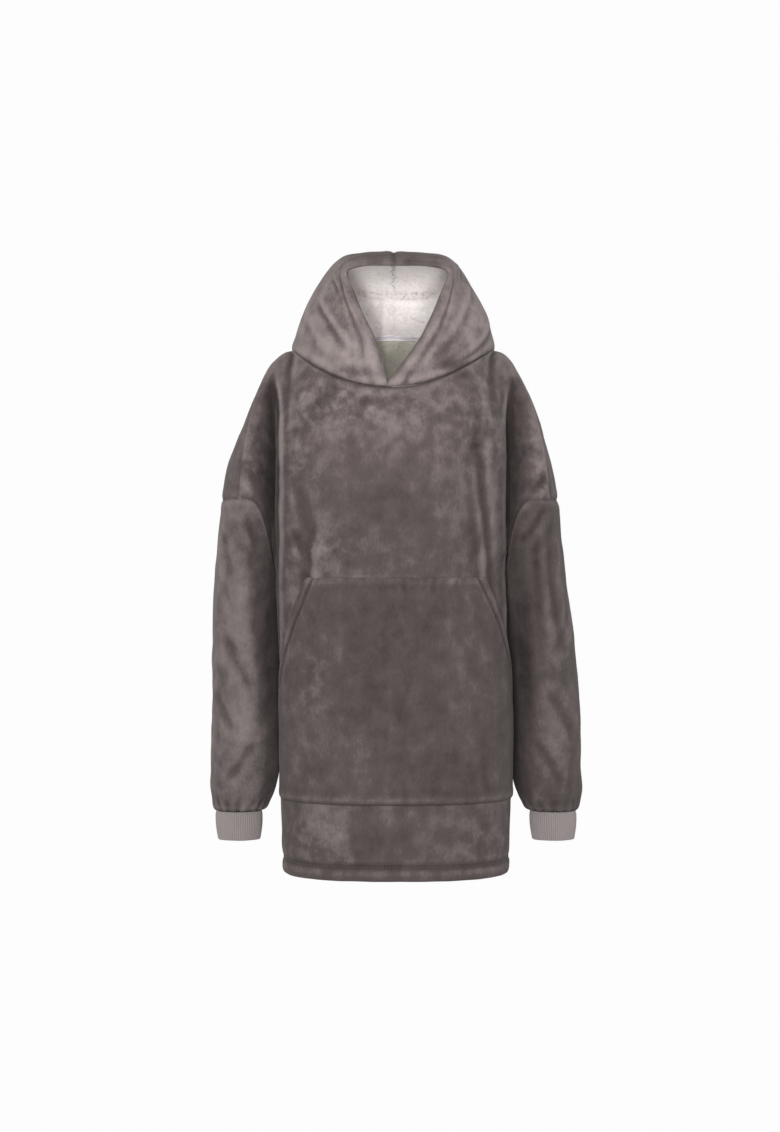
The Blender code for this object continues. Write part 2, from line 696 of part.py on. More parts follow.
def build():
    """Makes every piece."""
    fleece = make_material("plush_fleece", FLEECE_COLOUR, 0.85)
    sherpa = make_material("sherpa", SHERPA_COLOUR, 0.95)
    rib_knit = make_material("rib_knit", RIB_COLOUR, 0.90)

    # Front and back
    front_points, front_normals = panel_sheet(True)
    back_points, back_normals = panel_sheet(False)
    lining_normals = back_normals.copy()
    hoods = {side: hood_sheet(side) for side in (1, -1)}
    join_top_edges(front_normals, back_normals, {side: hoods[side][1] for side in hoods})
    wall("front", front_points, FLEECE, fleece, front_normals)
    wall("back", back_points, FLEECE, fleece, back_normals)

    # Sleeves and cuffs
    for side, label in ((1, "left"), (-1, "right")):
        make_sleeve(side, "sleeve_" + label, fleece)
        make_cuff(side, "cuff_" + label, rib_knit)

    # Pocket
    pocket_points, pocket_normals = pocket_sheet()
    wall("pocket", pocket_points, FLEECE, fleece, pocket_normals)

    # Hood halves, each with its lining
    for side, label in ((1, "left"), (-1, "right")):
        points, normals = hoods[side]
        lining = points - normals * (FLEECE + LAY_GAP)
        for sheet in (points, lining):
            draw_back(sheet, "first_row", NECK_GAP)
            draw_back(sheet, "last_row", SEAM_GAP)
            draw_back(sheet, "last_column", SEAM_GAP)
        wall("hood_" + label, points, FLEECE, fleece, normals)
        wall("hood_lining_" + label, lining, SHERPA, sherpa, normals)

    # The piece of back lining that shows through the neck
    columns = slice(HALF_COLUMNS - NECK_COLUMNS, HALF_COLUMNS + NECK_COLUMNS + 1)
    rows = slice(len(BODY_ROW_HEIGHTS) + BACK_YOKE_ROWS - 5, None)
    patch = (back_points - lining_normals * (FLEECE + LINING_GAP))[rows, columns]
    draw_back(patch, "last_row", LINING_TURN)
    wall("back_lining", patch, SHERPA, sherpa, lining_normals[rows, columns])


COLLECTION = "fleece_hoodie"
for leftover in list(bpy.data.objects):
    bpy.data.objects.remove(leftover, do_unlink=True)
bpy.context.scene.collection.children.link(bpy.data.collections.new(COLLECTION))
build()
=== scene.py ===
# %% [markdown]
# # Dressing a plush fleece hoodie
# This lesson puts the looks on a hooded pullover of crushed plush fleece with a sherpa-lined hood.
# The plain solids are already built and packed. Each of them is replaced here by a finer mesh of the
# same piece of cloth: the same cut, with its seams, turned edges, creases, ribs and stitches.
# Every length is in metres, +Z is up, -Y is the garment's front and +X is the wearer's left.

import json
import math
from collections import namedtuple

import bpy
import numpy as np
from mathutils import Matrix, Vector, noise

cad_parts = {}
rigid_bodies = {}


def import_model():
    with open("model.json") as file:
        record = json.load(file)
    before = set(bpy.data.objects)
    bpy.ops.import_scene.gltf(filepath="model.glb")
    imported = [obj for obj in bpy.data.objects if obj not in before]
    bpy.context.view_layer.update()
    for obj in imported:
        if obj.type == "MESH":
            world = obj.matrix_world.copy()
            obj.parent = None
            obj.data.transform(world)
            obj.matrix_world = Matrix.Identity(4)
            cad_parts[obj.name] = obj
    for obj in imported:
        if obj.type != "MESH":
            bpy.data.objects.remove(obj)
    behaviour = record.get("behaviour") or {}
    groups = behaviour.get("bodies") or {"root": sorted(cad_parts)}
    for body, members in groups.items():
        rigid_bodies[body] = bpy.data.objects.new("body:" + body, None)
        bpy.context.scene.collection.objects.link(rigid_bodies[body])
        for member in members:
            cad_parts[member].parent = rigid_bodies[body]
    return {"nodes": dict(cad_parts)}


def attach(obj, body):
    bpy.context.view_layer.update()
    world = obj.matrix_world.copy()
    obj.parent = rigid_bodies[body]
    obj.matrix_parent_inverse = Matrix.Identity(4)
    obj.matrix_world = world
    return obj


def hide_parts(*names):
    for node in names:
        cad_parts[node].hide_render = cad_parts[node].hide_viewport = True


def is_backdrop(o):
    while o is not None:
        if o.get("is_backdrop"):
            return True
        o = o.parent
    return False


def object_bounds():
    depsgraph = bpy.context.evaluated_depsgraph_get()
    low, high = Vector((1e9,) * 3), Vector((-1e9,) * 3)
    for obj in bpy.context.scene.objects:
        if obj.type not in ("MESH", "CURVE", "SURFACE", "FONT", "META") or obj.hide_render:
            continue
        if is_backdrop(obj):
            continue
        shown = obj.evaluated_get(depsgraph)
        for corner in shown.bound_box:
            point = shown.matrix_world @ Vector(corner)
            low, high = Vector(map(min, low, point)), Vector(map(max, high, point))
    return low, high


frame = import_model()
cad_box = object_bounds()
print("pieces in the frame:", len(frame["nodes"]))

# %% [markdown]
# ## The sizes of the garment
# The fine meshes have to lie where the solids lie, so they are worked out from the same driving sizes.
# They could also be read off the imported meshes, but then a crease could not follow the cut. With the
# sizes here, each point knows which seam it is near and how far up the cloth it lies.

# %% Cloth, seams and body sizes
# The wearer's sides, by the sign of x
SIDES = {+1: "left", -1: "right"}

FLEECE = 0.0040
SHERPA = 0.0030
RIB_KNIT = 0.0026
SEAM_GAP = 0.00005
UNDERARM_GAP = 0.0014
LAY_GAP = 0.0006
LINING_GAP = 0.0010
LINING_TURN = 0.0040

HEM_HEIGHT = -0.857
HEM_DEPTH = 0.021
HEM_PUFF = 0.0014
UNDERARM_HEIGHT = -0.372
SIDE_SQUARENESS = 2.7

NECK_HALF_WIDTH = 0.170
NECK_SIDE_DEPTH = 0.008
NECK_FRONT = 0.133
NECK_BACK = 0.090
NECK_FRONT_DROP = 0.074
NECK_BACK_RISE = 0.031

ARM_CENTRE = 0.2335
ARM_HALF_WIDTH = 0.044
ARM_HALF_DEPTH = 0.094
SHOULDER_FALL = 0.270
SHOULDER_ROUNDNESS = 1.8
ARMHOLE_TOP = -0.250
ARMHOLE_DROP = 0.122
ARMHOLE_FRONT_BEND = 8.0
ARMHOLE_BACK_BEND = 4.0
SHOULDER_SEAM_ANGLES = {+1: 52.0, -1: 77.0}
FRONT_VALLEY_ANGLE = 150.0
BACK_VALLEY_ANGLE = -128.0

LEAN = -0.0105
NECK_LEAN = 0.35

HALF_COLUMNS = 15
CREST_COLUMN = 9
NECK_COLUMNS = 6
CREST_ANGLE = 62.0
FRONT_YOKE_ROWS = 9
BACK_YOKE_ROWS = 13
BODY_ROW_HEIGHTS = [-0.857, -0.846, -0.836, -0.828, -0.785, -0.737, -0.680, -0.620, -0.555, -0.490, -0.430]

TorsoSection = namedtuple("TorsoSection", "height half_width front back")
TORSO_SECTIONS = [
    TorsoSection(-0.857, 0.1850, 0.137, 0.128),
    TorsoSection(-0.800, 0.1880, 0.141, 0.131),
    TorsoSection(-0.680, 0.1890, 0.146, 0.130),
    TorsoSection(-0.520, 0.1885, 0.143, 0.122),
    TorsoSection(-0.372, 0.1890, 0.139, 0.118),
    TorsoSection(-0.220, 0.1880, 0.136, 0.124),
    TorsoSection(-0.100, 0.1830, 0.131, 0.120),
    TorsoSection(0.031, 0.1650, 0.122, 0.100),
]

# How the chest turns back beside the arm: share up the yoke, where its arc ends, and the arc's centre
FoldBack = namedtuple("FoldBack", "share end_angle arc_centre")
FRONT_FOLD_BACK = [
    FoldBack(0.00, 62.0, 0.000),
    FoldBack(0.15, 80.0, -0.020),
    FoldBack(0.35, 96.0, -0.046),
    FoldBack(0.70, 90.0, -0.048),
    FoldBack(1.00, 72.0, -0.025),
]
BACK_FOLD_BACK = [
    FoldBack(0.00, 62.0, 0.000),
    FoldBack(0.20, 68.0, 0.010),
    FoldBack(0.50, 76.0, 0.018),
    FoldBack(1.00, 66.0, 0.010),
]

# Soft troughs between two points of a panel (ridges where the depth is negative)
Fold = namedtuple("Fold", "x_top z_top x_foot z_foot width depth")
FRONT_FOLDS = [
    Fold(-0.135, -0.240, -0.146, -0.420, 0.013, 0.010),
    Fold(0.134, -0.130, 0.144, -0.375, 0.018, 0.010),
    Fold(0.055, -0.400, 0.070, -0.700, 0.024, 0.003),
    Fold(-0.075, -0.760, -0.105, -0.830, 0.018, -0.003),
]
BACK_FOLDS = [
    Fold(-0.110, -0.200, -0.100, -0.620, 0.022, 0.008),
    Fold(0.095, -0.160, 0.120, -0.540, 0.022, 0.008),
    Fold(0.010, -0.300, -0.020, -0.820, 0.028, 0.006),
]
print("body sections:", len(TORSO_SECTIONS), "main folds:", len(FRONT_FOLDS) + len(BACK_FOLDS))

# %% Sleeve, cuff, pocket and hood sizes
SLEEVE_FOOT = -0.768
SLEEVE_ROWS = 13
SleeveSection = namedtuple("SleeveSection", "height centre depth_centre half_width half_depth")
SLEEVE_SECTIONS = [
    SleeveSection(-0.250, 0.2335, 0.000, 0.0440, 0.094),
    SleeveSection(-0.372, 0.2415, 0.012, 0.0505, 0.091),
    SleeveSection(-0.465, 0.2455, 0.022, 0.0545, 0.087),
    SleeveSection(-0.560, 0.2485, 0.028, 0.0575, 0.081),
    SleeveSection(-0.650, 0.2507, 0.032, 0.0597, 0.073),
    SleeveSection(-0.710, 0.2533, 0.032, 0.0562, 0.062),
    SleeveSection(-0.748, 0.2600, 0.031, 0.0490, 0.049),
    SleeveSection(-0.768, 0.2630, 0.030, 0.0400, 0.031),
]
SleeveFold = namedtuple("SleeveFold", "side angle top foot width depth")
SLEEVE_FOLDS = [
    SleeveFold(+1, 92.0, -0.290, -0.520, 17.0, 0.0070),
    SleeveFold(-1, 118.0, -0.300, -0.480, 18.0, 0.0060),
    SleeveFold(-1, 62.0, -0.330, -0.600, 20.0, 0.0035),
    SleeveFold(+1, -80.0, -0.340, -0.600, 20.0, 0.0070),
    SleeveFold(-1, -95.0, -0.330, -0.560, 20.0, 0.0070),
]
GATHERS = 6
GATHER_DEPTH = 0.0030
GATHER_REACH = 0.085

# Cuffs
CUFF_LENGTH = 0.046
CUFF_NARROWING = 0.90
CUFF_INSET = 0.0015

# Kangaroo pocket: a hand goes in at each slanted side
POCKET_TOP = -0.378
POCKET_FOOT = -0.737
POCKET_END_COLUMN = 13
POCKET_ROWS = 9
POCKET_GAP = 0.0010
PocketOpening = namedtuple("PocketOpening", "top_angle foot")
POCKET_OPENINGS = {+1: PocketOpening(47.5, -0.530), -1: PocketOpening(38.0, -0.560)}
POCKET_GAPE = 0.0028
OPENING_GAPE = 0.0016

# Hood: its rim, and the seam over its crown and down its back
HOOD_ROWS = 11
RimPoint = namedtuple("RimPoint", "share x y z")
HOOD_RIM = [
    RimPoint(0.00, 0.0000, -0.125, -0.074),
    RimPoint(0.20, 0.0200, -0.130, -0.034),
    RimPoint(0.42, 0.0480, -0.122, 0.022),
    RimPoint(0.64, 0.0760, -0.106, 0.082),
    RimPoint(0.78, 0.0860, -0.092, 0.115),
    RimPoint(0.88, 0.0690, -0.082, 0.130),
    RimPoint(1.00, 0.0000, -0.078, 0.134),
]
SeamPoint = namedtuple("SeamPoint", "share y z")
HOOD_CROWN_SEAM = [
    SeamPoint(0.00, -0.078, 0.134),
    SeamPoint(0.25, -0.030, 0.157),
    SeamPoint(0.55, 0.068, 0.157),
    SeamPoint(0.80, 0.132, 0.141),
    SeamPoint(1.00, 0.152, 0.124),
]
HOOD_BACK_SEAM = [
    SeamPoint(0.00, 0.098, 0.031),
    SeamPoint(0.25, 0.120, 0.043),
    SeamPoint(0.50, 0.146, 0.064),
    SeamPoint(0.75, 0.162, 0.095),
    SeamPoint(1.00, 0.152, 0.124),
]
HoodSide = namedtuple("HoodSide", "share x z")
HOOD_SIDE = [
    HoodSide(0.00, 0.1700, 0.000),
    HoodSide(0.20, 0.1605, 0.036),
    HoodSide(0.40, 0.1415, 0.080),
    HoodSide(0.55, 0.1225, 0.110),
    HoodSide(0.70, 0.1010, 0.137),
    HoodSide(0.82, 0.0770, 0.153),
    HoodSide(0.91, 0.0440, 0.159),
    HoodSide(1.00, 0.0000, 0.160),
]
RIM_OVERLAP = 0.006
RIM_SHIFT = 0.006
HOOD_BACK_FULLNESS = 0.020
print("rim points:", len(HOOD_RIM), "sleeve sections:", len(SLEEVE_SECTIONS))

# %% [markdown]
# ## The form of each piece
# A cut piece of cloth is a sheet: rows and columns of points. Its form comes from a few sections and
# seam lines, read as smooth curves. Sculpting would give a form too, but it could not be changed
# later by one number. These functions say where a point of the body, yoke, sleeve, pocket or hood lies.

# %% Curves through short tables
def ease(values):
    """Goes from 0 to 1 as values do, slowly at both ends."""
    clipped = np.clip(values, 0.0, 1.0)
    return clipped * clipped * (3.0 - 2.0 * clipped)


def bell(distance, width):
    """1 at distance 0, and almost 0 from two widths on."""
    return np.exp(-((distance / width) ** 2))


def rows_at(sheet, places, wanted):
    """Rows of a sheet read at the wanted places, on smooth curves through its own rows."""
    slopes = np.gradient(sheet, places, axis=0)
    low = np.clip(np.searchsorted(places, wanted, side="right") - 1, 0, len(places) - 2)
    span = (places[low + 1] - places[low])[:, None, None]
    t = (wanted - places[low])[:, None, None] / span
    return (
        (2 * t**3 - 3 * t**2 + 1) * sheet[low]
        + (t**3 - 2 * t**2 + t) * span * slopes[low]
        + (3 * t**2 - 2 * t**3) * sheet[low + 1]
        + (t**3 - t**2) * span * slopes[low + 1]
    )


def read_table(rows, key):
    """All columns of a table at key, on a smooth curve through its rows. The first column is the key."""
    table = np.array(sorted(rows), dtype=float)
    keys = table[:, 0]
    return rows_at(table[:, None], keys, np.clip([key], keys[0], keys[-1]))[0, 0]


def sine_power(degrees, power):
    """Sine raised to a power that keeps its sign."""
    value = math.sin(math.radians(degrees))
    return math.copysign(abs(value) ** power, value)


def closing(share):
    """How far a yoke row has closed in on the top edge."""
    late = min(1.0, max(0.0, (share - 0.45) / 0.55))
    return late * late * (2.0 - late)


def lean(point):
    """Moves a point sideways as the garment leans."""
    share = ease((point[2] + 0.62) / 0.30) * (1.0 - (1.0 - NECK_LEAN) * ease((point[2] + 0.045) / 0.06))
    return np.array([point[0] + LEAN * share, point[1], point[2]])

print("half width at the hem:", round(float(read_table(TORSO_SECTIONS, HEM_HEIGHT)[1]), 4))

# %% Neck, shoulder and armhole lines
def neck_point(turn):
    """A point of the neck seam. turn is 0 at centre front, 1 at the shoulder and 2 at centre back."""
    across = math.sin(turn * math.pi / 2)
    along = math.cos(turn * math.pi / 2)
    depth, rise = (NECK_FRONT, -NECK_FRONT_DROP) if turn <= 1 else (NECK_BACK, NECK_BACK_RISE)
    return np.array([NECK_HALF_WIDTH * across, NECK_SIDE_DEPTH - depth * along, rise * along * along])


def shoulder_spread(height):
    """How far the shoulder has widened at a height: 0 on the shoulder line, 1 at the upper arm."""
    left = max(0.0, 1.0 + min(0.0, height) / SHOULDER_FALL)
    return (1.0 - left**SHOULDER_ROUNDNESS) ** (1.0 / SHOULDER_ROUNDNESS)


def upper_arm_point(angle, height):
    """A point of the shoulder and upper arm. angle is 0 outside, 90 in front and 180 next to the body."""
    spread = shoulder_spread(height)
    turn = math.radians(angle)
    return np.array([
        NECK_HALF_WIDTH + (ARM_CENTRE - NECK_HALF_WIDTH + ARM_HALF_WIDTH * math.cos(turn)) * spread,
        NECK_SIDE_DEPTH * (1.0 - spread) - ARM_HALF_DEPTH * math.sin(turn) * spread,
        height,
    ])


def armhole_height(angle):
    """Height of the armhole seam at an angle round the arm."""
    inward = (1.0 - math.cos(math.radians(angle))) / 2
    bend = ARMHOLE_FRONT_BEND if angle > 0 else ARMHOLE_BACK_BEND
    return ARMHOLE_TOP - ARMHOLE_DROP * inward**bend


def armhole_point(angle):
    """A point of the armhole seam, on the wearer's left."""
    point = upper_arm_point(angle, -SHOULDER_FALL)
    point[2] = armhole_height(angle)
    return point


def shoulder_seam_point(share, side):
    """A point of the shoulder seam, from the neck (0) to the armhole (1)."""
    angle = SHOULDER_SEAM_ANGLES[side]
    foot = armhole_height(angle)
    height = foot * (1.0 - math.cos(share * math.pi / 2) ** (2.0 / SHOULDER_ROUNDNESS))
    point = upper_arm_point(angle, height)
    end = armhole_point(angle)
    return point + (end - upper_arm_point(angle, foot)) * ease(share)

print("neck seam at centre front:", neck_point(0.0).round(3))

# %% Body tube and its folds
FOLD_REACH = 0.15
CREASE_REACH = 0.10
FADE_LENGTH = 0.35


def body_angle(column):
    """Angle round the body at a column: 0 in the middle, 90 at the side seam."""
    if column <= CREST_COLUMN:
        return CREST_ANGLE * column / CREST_COLUMN
    return CREST_ANGLE + (90.0 - CREST_ANGLE) * (column - CREST_COLUMN) / (HALF_COLUMNS - CREST_COLUMN)


def hem_puff(height):
    """How far the turned-up hem stands out, with a nip at its stitch line."""
    above = (height - HEM_HEIGHT) / HEM_DEPTH
    if above > 1.2:
        return 0.0
    return HEM_PUFF if above < 0.9 else -0.6 * HEM_PUFF


def fade_ends(along, reach):
    """1 along a fold or crease, fading out up to reach beyond its ends. All are shares of its length."""
    return ease((along + reach) / FADE_LENGTH) * ease((1.0 + reach - along) / FADE_LENGTH)


def fold_relief(point, folds):
    """How deep the folds of a panel are at a point."""
    depth = 0.0
    for fold in folds:
        along = (point[2] - fold.z_top) / (fold.z_foot - fold.z_top)
        line_x = fold.x_top + (fold.x_foot - fold.x_top) * along
        depth += fold.depth * fade_ends(along, FOLD_REACH) * bell(point[0] - line_x, fold.width)
    return depth


def body_point(angle, height, front):
    """A point of the body tube. angle is signed, 0 in the middle and 90 at the wearer's left side."""
    section = TorsoSection(*read_table(TORSO_SECTIONS, height))
    power = 2.0 / SIDE_SQUARENESS
    puff = hem_puff(height)
    depth = -(section.front + puff) if front else section.back + puff
    return np.array([
        (section.half_width + puff) * sine_power(angle, power),
        depth * sine_power(90.0 - angle, power),
        height,
    ])

print("middle of the hem:", body_point(0.0, HEM_HEIGHT, True).round(3))

# %% Yoke: the cloth between the underarm and the shoulder
def top_edge_point(column, front, side):
    """A point of a panel's top edge: the neck seam, then the shoulder seam."""
    if column <= NECK_COLUMNS:
        turn = column / NECK_COLUMNS
        return neck_point(turn if front else 2.0 - turn)
    return shoulder_seam_point((column - NECK_COLUMNS) / (HALF_COLUMNS - NECK_COLUMNS), side)


def seam_angle(share, front, side):
    """Angle round the arm where a row of the yoke meets the armhole seam."""
    if front:
        return 180.0 + (SHOULDER_SEAM_ANGLES[side] - 180.0) * share
    return -180.0 + (SHOULDER_SEAM_ANGLES[side] + 180.0) * share


def chest_point(column, share, height, top, front):
    """A point of the chest or upper back, on the wearer's left. Near the top edge it closes in on it."""
    facing = 1.0 if front else -1.0
    fold = FoldBack(*read_table(FRONT_FOLD_BACK if front else BACK_FOLD_BACK, share))
    section = TorsoSection(*read_table(TORSO_SECTIONS, height))
    reach = section.front + fold.arc_centre if front else section.back - fold.arc_centre
    power = 2.0 / SIDE_SQUARENESS
    angle = fold.end_angle * column / CREST_COLUMN
    point = np.array([
        section.half_width * sine_power(angle, power),
        fold.arc_centre - facing * reach * sine_power(90.0 - angle, power),
        height,
    ])
    return point + (top - point) * closing(share)


def yoke_point(column, share, front, side):
    """A point above the underarm, as on the left. share is 0 at the underarm and 1 at the top edge."""
    edge = top_edge_point(column, front, side)
    top_angle = SHOULDER_SEAM_ANGLES[side]
    end_angle = seam_angle(share, front, side)
    armhole_rise = armhole_height(top_angle) - UNDERARM_HEIGHT
    armhole_share = (armhole_height(end_angle) - UNDERARM_HEIGHT) / armhole_rise

    def row_height(outward, top):
        climb = share + (armhole_share - share) * ease(outward)
        return UNDERARM_HEIGHT + (top[2] - UNDERARM_HEIGHT) * climb

    if column <= CREST_COLUMN:
        return chest_point(column, share, row_height(0.0, edge), edge, front)

    # Beyond the fold the cloth goes round the arm, and closes in on the shoulder seam near the top
    outward = (column - CREST_COLUMN) / (HALF_COLUMNS - CREST_COLUMN)
    height = row_height(outward, edge)
    near_top = closing(share)
    valley = FRONT_VALLEY_ANGLE if front else BACK_VALLEY_ANGLE
    turned = valley + (end_angle - valley) * outward + near_top * (top_angle - valley) * (1.0 - outward)
    crest_edge = top_edge_point(CREST_COLUMN, front, side)
    crest_height = row_height(0.0, crest_edge)
    crest = chest_point(CREST_COLUMN, share, crest_height, crest_edge, front)
    first = upper_arm_point(valley + near_top * (top_angle - valley), crest_height)
    seam_shift = armhole_point(end_angle) - upper_arm_point(end_angle, armhole_height(end_angle))
    arm = upper_arm_point(turned, height)
    folded = arm + (crest - first) * (1.0 - outward) ** 2 + seam_shift * outward**3
    tube = body_point(body_angle(column), height, front)
    across, depth = tube[:2] + (folded[:2] - tube[:2]) * ease(share / 0.2)
    return np.array([across, depth, folded[2]])

print("yoke rows:", FRONT_YOKE_ROWS, BACK_YOKE_ROWS)

# %% Front and back as sheets of points
def panel_point(column, level, front):
    """A point of the front or back. column is signed. level is a height up to the underarm, then a share."""
    side = -1 if column < 0 else 1
    if level < 0:
        point = body_point(body_angle(abs(column)), level, front)
    else:
        point = yoke_point(abs(column), level, front, side)
    point[0] *= side
    relief = fold_relief(point, FRONT_FOLDS if front else BACK_FOLDS)
    point[1] += relief if front else -relief
    return lean(point)


def panel_levels(front):
    """The rows of a panel: heights up to the underarm, then shares up the yoke."""
    rows = FRONT_YOKE_ROWS if front else BACK_YOKE_ROWS
    return BODY_ROW_HEIGHTS + [row / rows for row in range(rows + 1)]


def panel_grid(front):
    """All points of the front or back."""
    columns = range(-HALF_COLUMNS, HALF_COLUMNS + 1)
    levels = panel_levels(front)
    return np.array([[panel_point(column, level, front) for column in columns] for level in levels])


def unit(vectors):
    """Vectors at length one."""
    return vectors / np.maximum(np.linalg.norm(vectors, axis=-1, keepdims=True), 1e-12)


def sheet_normals(points, around=False, flip=False):
    """Outward directions of a sheet of points."""
    along = np.gradient(points, axis=0)
    if around:
        across = np.roll(points, -1, axis=1) - np.roll(points, 1, axis=1)
    else:
        across = np.gradient(points, axis=1)
    normals = unit(np.cross(across, along))
    return -normals if flip else normals


def lifted(points, normals, height):
    """Points moved out along their directions, each by its height."""
    return points + height[..., None] * normals


def draw_back(points, edge, distance):
    """Moves one edge of a sheet back into it, to leave a seam gap."""
    sheet = points if edge in ("first_row", "last_row") else points.transpose(1, 0, 2)
    place, neighbour = (0, 1) if edge.startswith("first") else (-1, -2)
    sheet[place] = sheet[place] + unit(sheet[neighbour] - sheet[place]) * distance


def armhole_direction(angle, side, own):
    """Outward direction at the armhole seam: away from the arm, and the cloth's own next to the body."""
    turn = math.radians(angle)
    away = unit(np.array([
        side * math.cos(turn) / ARM_HALF_WIDTH,
        -math.sin(turn) / ARM_HALF_DEPTH,
        0.0,
    ]))
    share = ease((150.0 - abs(angle)) / 30.0)
    return unit(away * share + own * (1.0 - share))


def panel_sheet(front):
    """Points and outward directions of the front or back, drawn back at its seams."""
    points = panel_grid(front)
    draw_back(points, "last_row", SEAM_GAP / 2)
    draw_back(points, "first_column", SEAM_GAP / 2)
    draw_back(points, "last_column", SEAM_GAP / 2)
    normals = sheet_normals(points, flip=not front)
    for row, level in enumerate(panel_levels(front)):
        for column, side in ((0, -1), (-1, 1)):
            facing = (side, 0.0, 0.0)
            if level > 0:
                facing = armhole_direction(seam_angle(level, front, side), side, normals[row, column])
            normals[row, column] = facing
    return points, normals


def share_direction(first, first_spot, second, second_spot):
    """Gives two sheets one outward direction where they meet, so that their walls meet edge to edge."""
    shared = unit(first[first_spot] + second[second_spot])
    first[first_spot] = shared
    second[second_spot] = shared


def join_top_edges(front_normals, back_normals, hood_normals):
    """Joins front to back along the shoulder seams, and both to the hood along the neck seam."""
    for side in (1, -1):
        for column in range(NECK_COLUMNS, HALF_COLUMNS + 1):
            spot = (-1, HALF_COLUMNS + side * column)
            share_direction(front_normals, spot, back_normals, spot)
        for column in range(NECK_COLUMNS + 1):
            spot = (-1, HALF_COLUMNS + side * column)
            share_direction(front_normals, spot, hood_normals[side], (0, column))
            share_direction(back_normals, spot, hood_normals[side], (0, 2 * NECK_COLUMNS - column))

print("points in the front's coarse sheet:", panel_grid(True).shape[:2])

# %% Sleeve and pocket as sheets of points
def half_turn(angle):
    """The same angle, between -180 and 180 degrees."""
    return (angle + 180.0) % 360.0 - 180.0


def sleeve_angles(side):
    """Angles of the points round a sleeve, which are those of the armhole seam's rows."""
    front = [seam_angle(row / FRONT_YOKE_ROWS, True, side) for row in range(FRONT_YOKE_ROWS, 0, -1)]
    back = [seam_angle(row / BACK_YOKE_ROWS, False, side) for row in range(0, BACK_YOKE_ROWS)]
    return front + back


def sleeve_ring_point(angle, height, side):
    """A point of a sleeve's section at a height."""
    section = SleeveSection(*read_table(SLEEVE_SECTIONS, height))
    turn = math.radians(angle)
    foot_share = ease(1.0 - (height - SLEEVE_FOOT) / GATHER_REACH)
    gather = GATHER_DEPTH * math.cos(GATHERS * turn) * foot_share * (1.0 - 0.6 * ease(foot_share * 2 - 1))
    dent = 0.0
    for fold in SLEEVE_FOLDS:
        if fold.side == side:
            along = (fold.top - height) / (fold.top - fold.foot)
            off = half_turn(angle - fold.angle)
            dent += fold.depth * fade_ends(along, FOLD_REACH) * bell(off, fold.width)
    swell = gather - dent
    return np.array([
        section.centre + (section.half_width + swell) * math.cos(turn),
        section.depth_centre - (section.half_depth + swell) * math.sin(turn),
        height,
    ])


def sleeve_point(angle, share, side):
    """A point of a sleeve. share is 0 at the armhole seam and 1 at the cuff."""
    top = armhole_height(angle)
    height = top + (SLEEVE_FOOT - top) * share
    point = sleeve_ring_point(angle, height, side)
    shift = armhole_point(angle) - sleeve_ring_point(angle, top, side)
    point = point + shift * (1.0 - ease(share / 0.30))
    point[0] *= side
    return lean(point)


def pocket_end(height, side):
    """How wide the pocket is at a height, as a share of its foot, and how far up its opening that is."""
    opening = POCKET_OPENINGS[side]
    up = max(0.0, (height - opening.foot) / (POCKET_TOP - opening.foot))
    return 1.0 + (opening.top_angle / body_angle(POCKET_END_COLUMN) - 1.0) * up, up


def pocket_sheet():
    """Points and outward directions of the pocket: those of the front, moved out."""
    points, gaps = [], []
    for row in range(POCKET_ROWS + 1):
        share = row / POCKET_ROWS
        height = POCKET_FOOT + (POCKET_TOP - POCKET_FOOT) * share
        for column in range(-POCKET_END_COLUMN, POCKET_END_COLUMN + 1):
            across = column / POCKET_END_COLUMN
            width, up = pocket_end(height, 1 if column > 0 else -1)
            mouth = OPENING_GAPE * math.sin(math.pi * min(1.0, up)) * abs(across) ** 4
            belly = POCKET_GAPE * math.sin(math.pi * share) * (1.0 - across**4)
            point = body_point(math.copysign(body_angle(abs(column)), column) * width, height, True)
            point[1] += fold_relief(point, FRONT_FOLDS)
            points.append(lean(point))
            gaps.append(FLEECE + POCKET_GAP + belly + mouth)
    shape = (POCKET_ROWS + 1, 2 * POCKET_END_COLUMN + 1)
    points = np.array(points).reshape(*shape, 3)
    moved = lifted(points, sheet_normals(points), np.array(gaps).reshape(shape))
    return moved, sheet_normals(moved)

print("points in the pocket's coarse sheet:", pocket_sheet()[0].shape[:2])

# %% Hood as sheets of points
def seam_point(table, share):
    """A point of a seam in the hood's middle."""
    return np.array([0.0, *read_table(table, share)[1:]])


def hood_span(along, up):
    """A point on the straight line from the neck seam up to the crown seam."""
    return (1 - up) * neck_point(2.0 * along) + up * seam_point(HOOD_CROWN_SEAM, along)


def unfilled_hood_point(along, up):
    """A point of the hood as it is stretched between its rim, the neck and its seams."""
    ahead = 1.0 - along**3
    at_rim = read_table(HOOD_RIM, up)[1:] - hood_span(0.0, up)
    at_back = seam_point(HOOD_BACK_SEAM, up) - hood_span(1.0, up)
    return hood_span(along, up) + ahead * at_rim + (1 - ahead) * at_back


def hood_point(along, up, side):
    """A point of a hood half. along goes from the rim to the back seam, up from the neck to the crown."""
    middle = unfilled_hood_point(0.5, up)
    widest = HoodSide(*read_table(HOOD_SIDE, up))
    swell = np.array([widest.x - middle[0], 0.0, widest.z - middle[2]])
    fullness = 1.0 - abs(2.0 * along - 1.0) ** (4.0 if along > 0.5 else 2.0)
    point = unfilled_hood_point(along, up) + swell * fullness
    behind = max(0.0, math.sin(math.pi * (2.0 * along - 1.0)))
    point[1] += HOOD_BACK_FULLNESS * behind * 4.0 * up * (1.0 - up)
    lap = RIM_OVERLAP * (1.0 - ease(up / 0.20))
    aside = RIM_SHIFT * ease(up / 0.35) * (1.0 - ease(along / 0.60)) * (1.0 - ease((up - 0.80) / 0.20))
    point[0] = side * max(0.0, point[0]) - 0.5 * lap * (1.0 - ease(along / 0.08)) + aside
    point[1] -= side * lap * (1.0 - ease(along / 0.20))
    return lean(point)


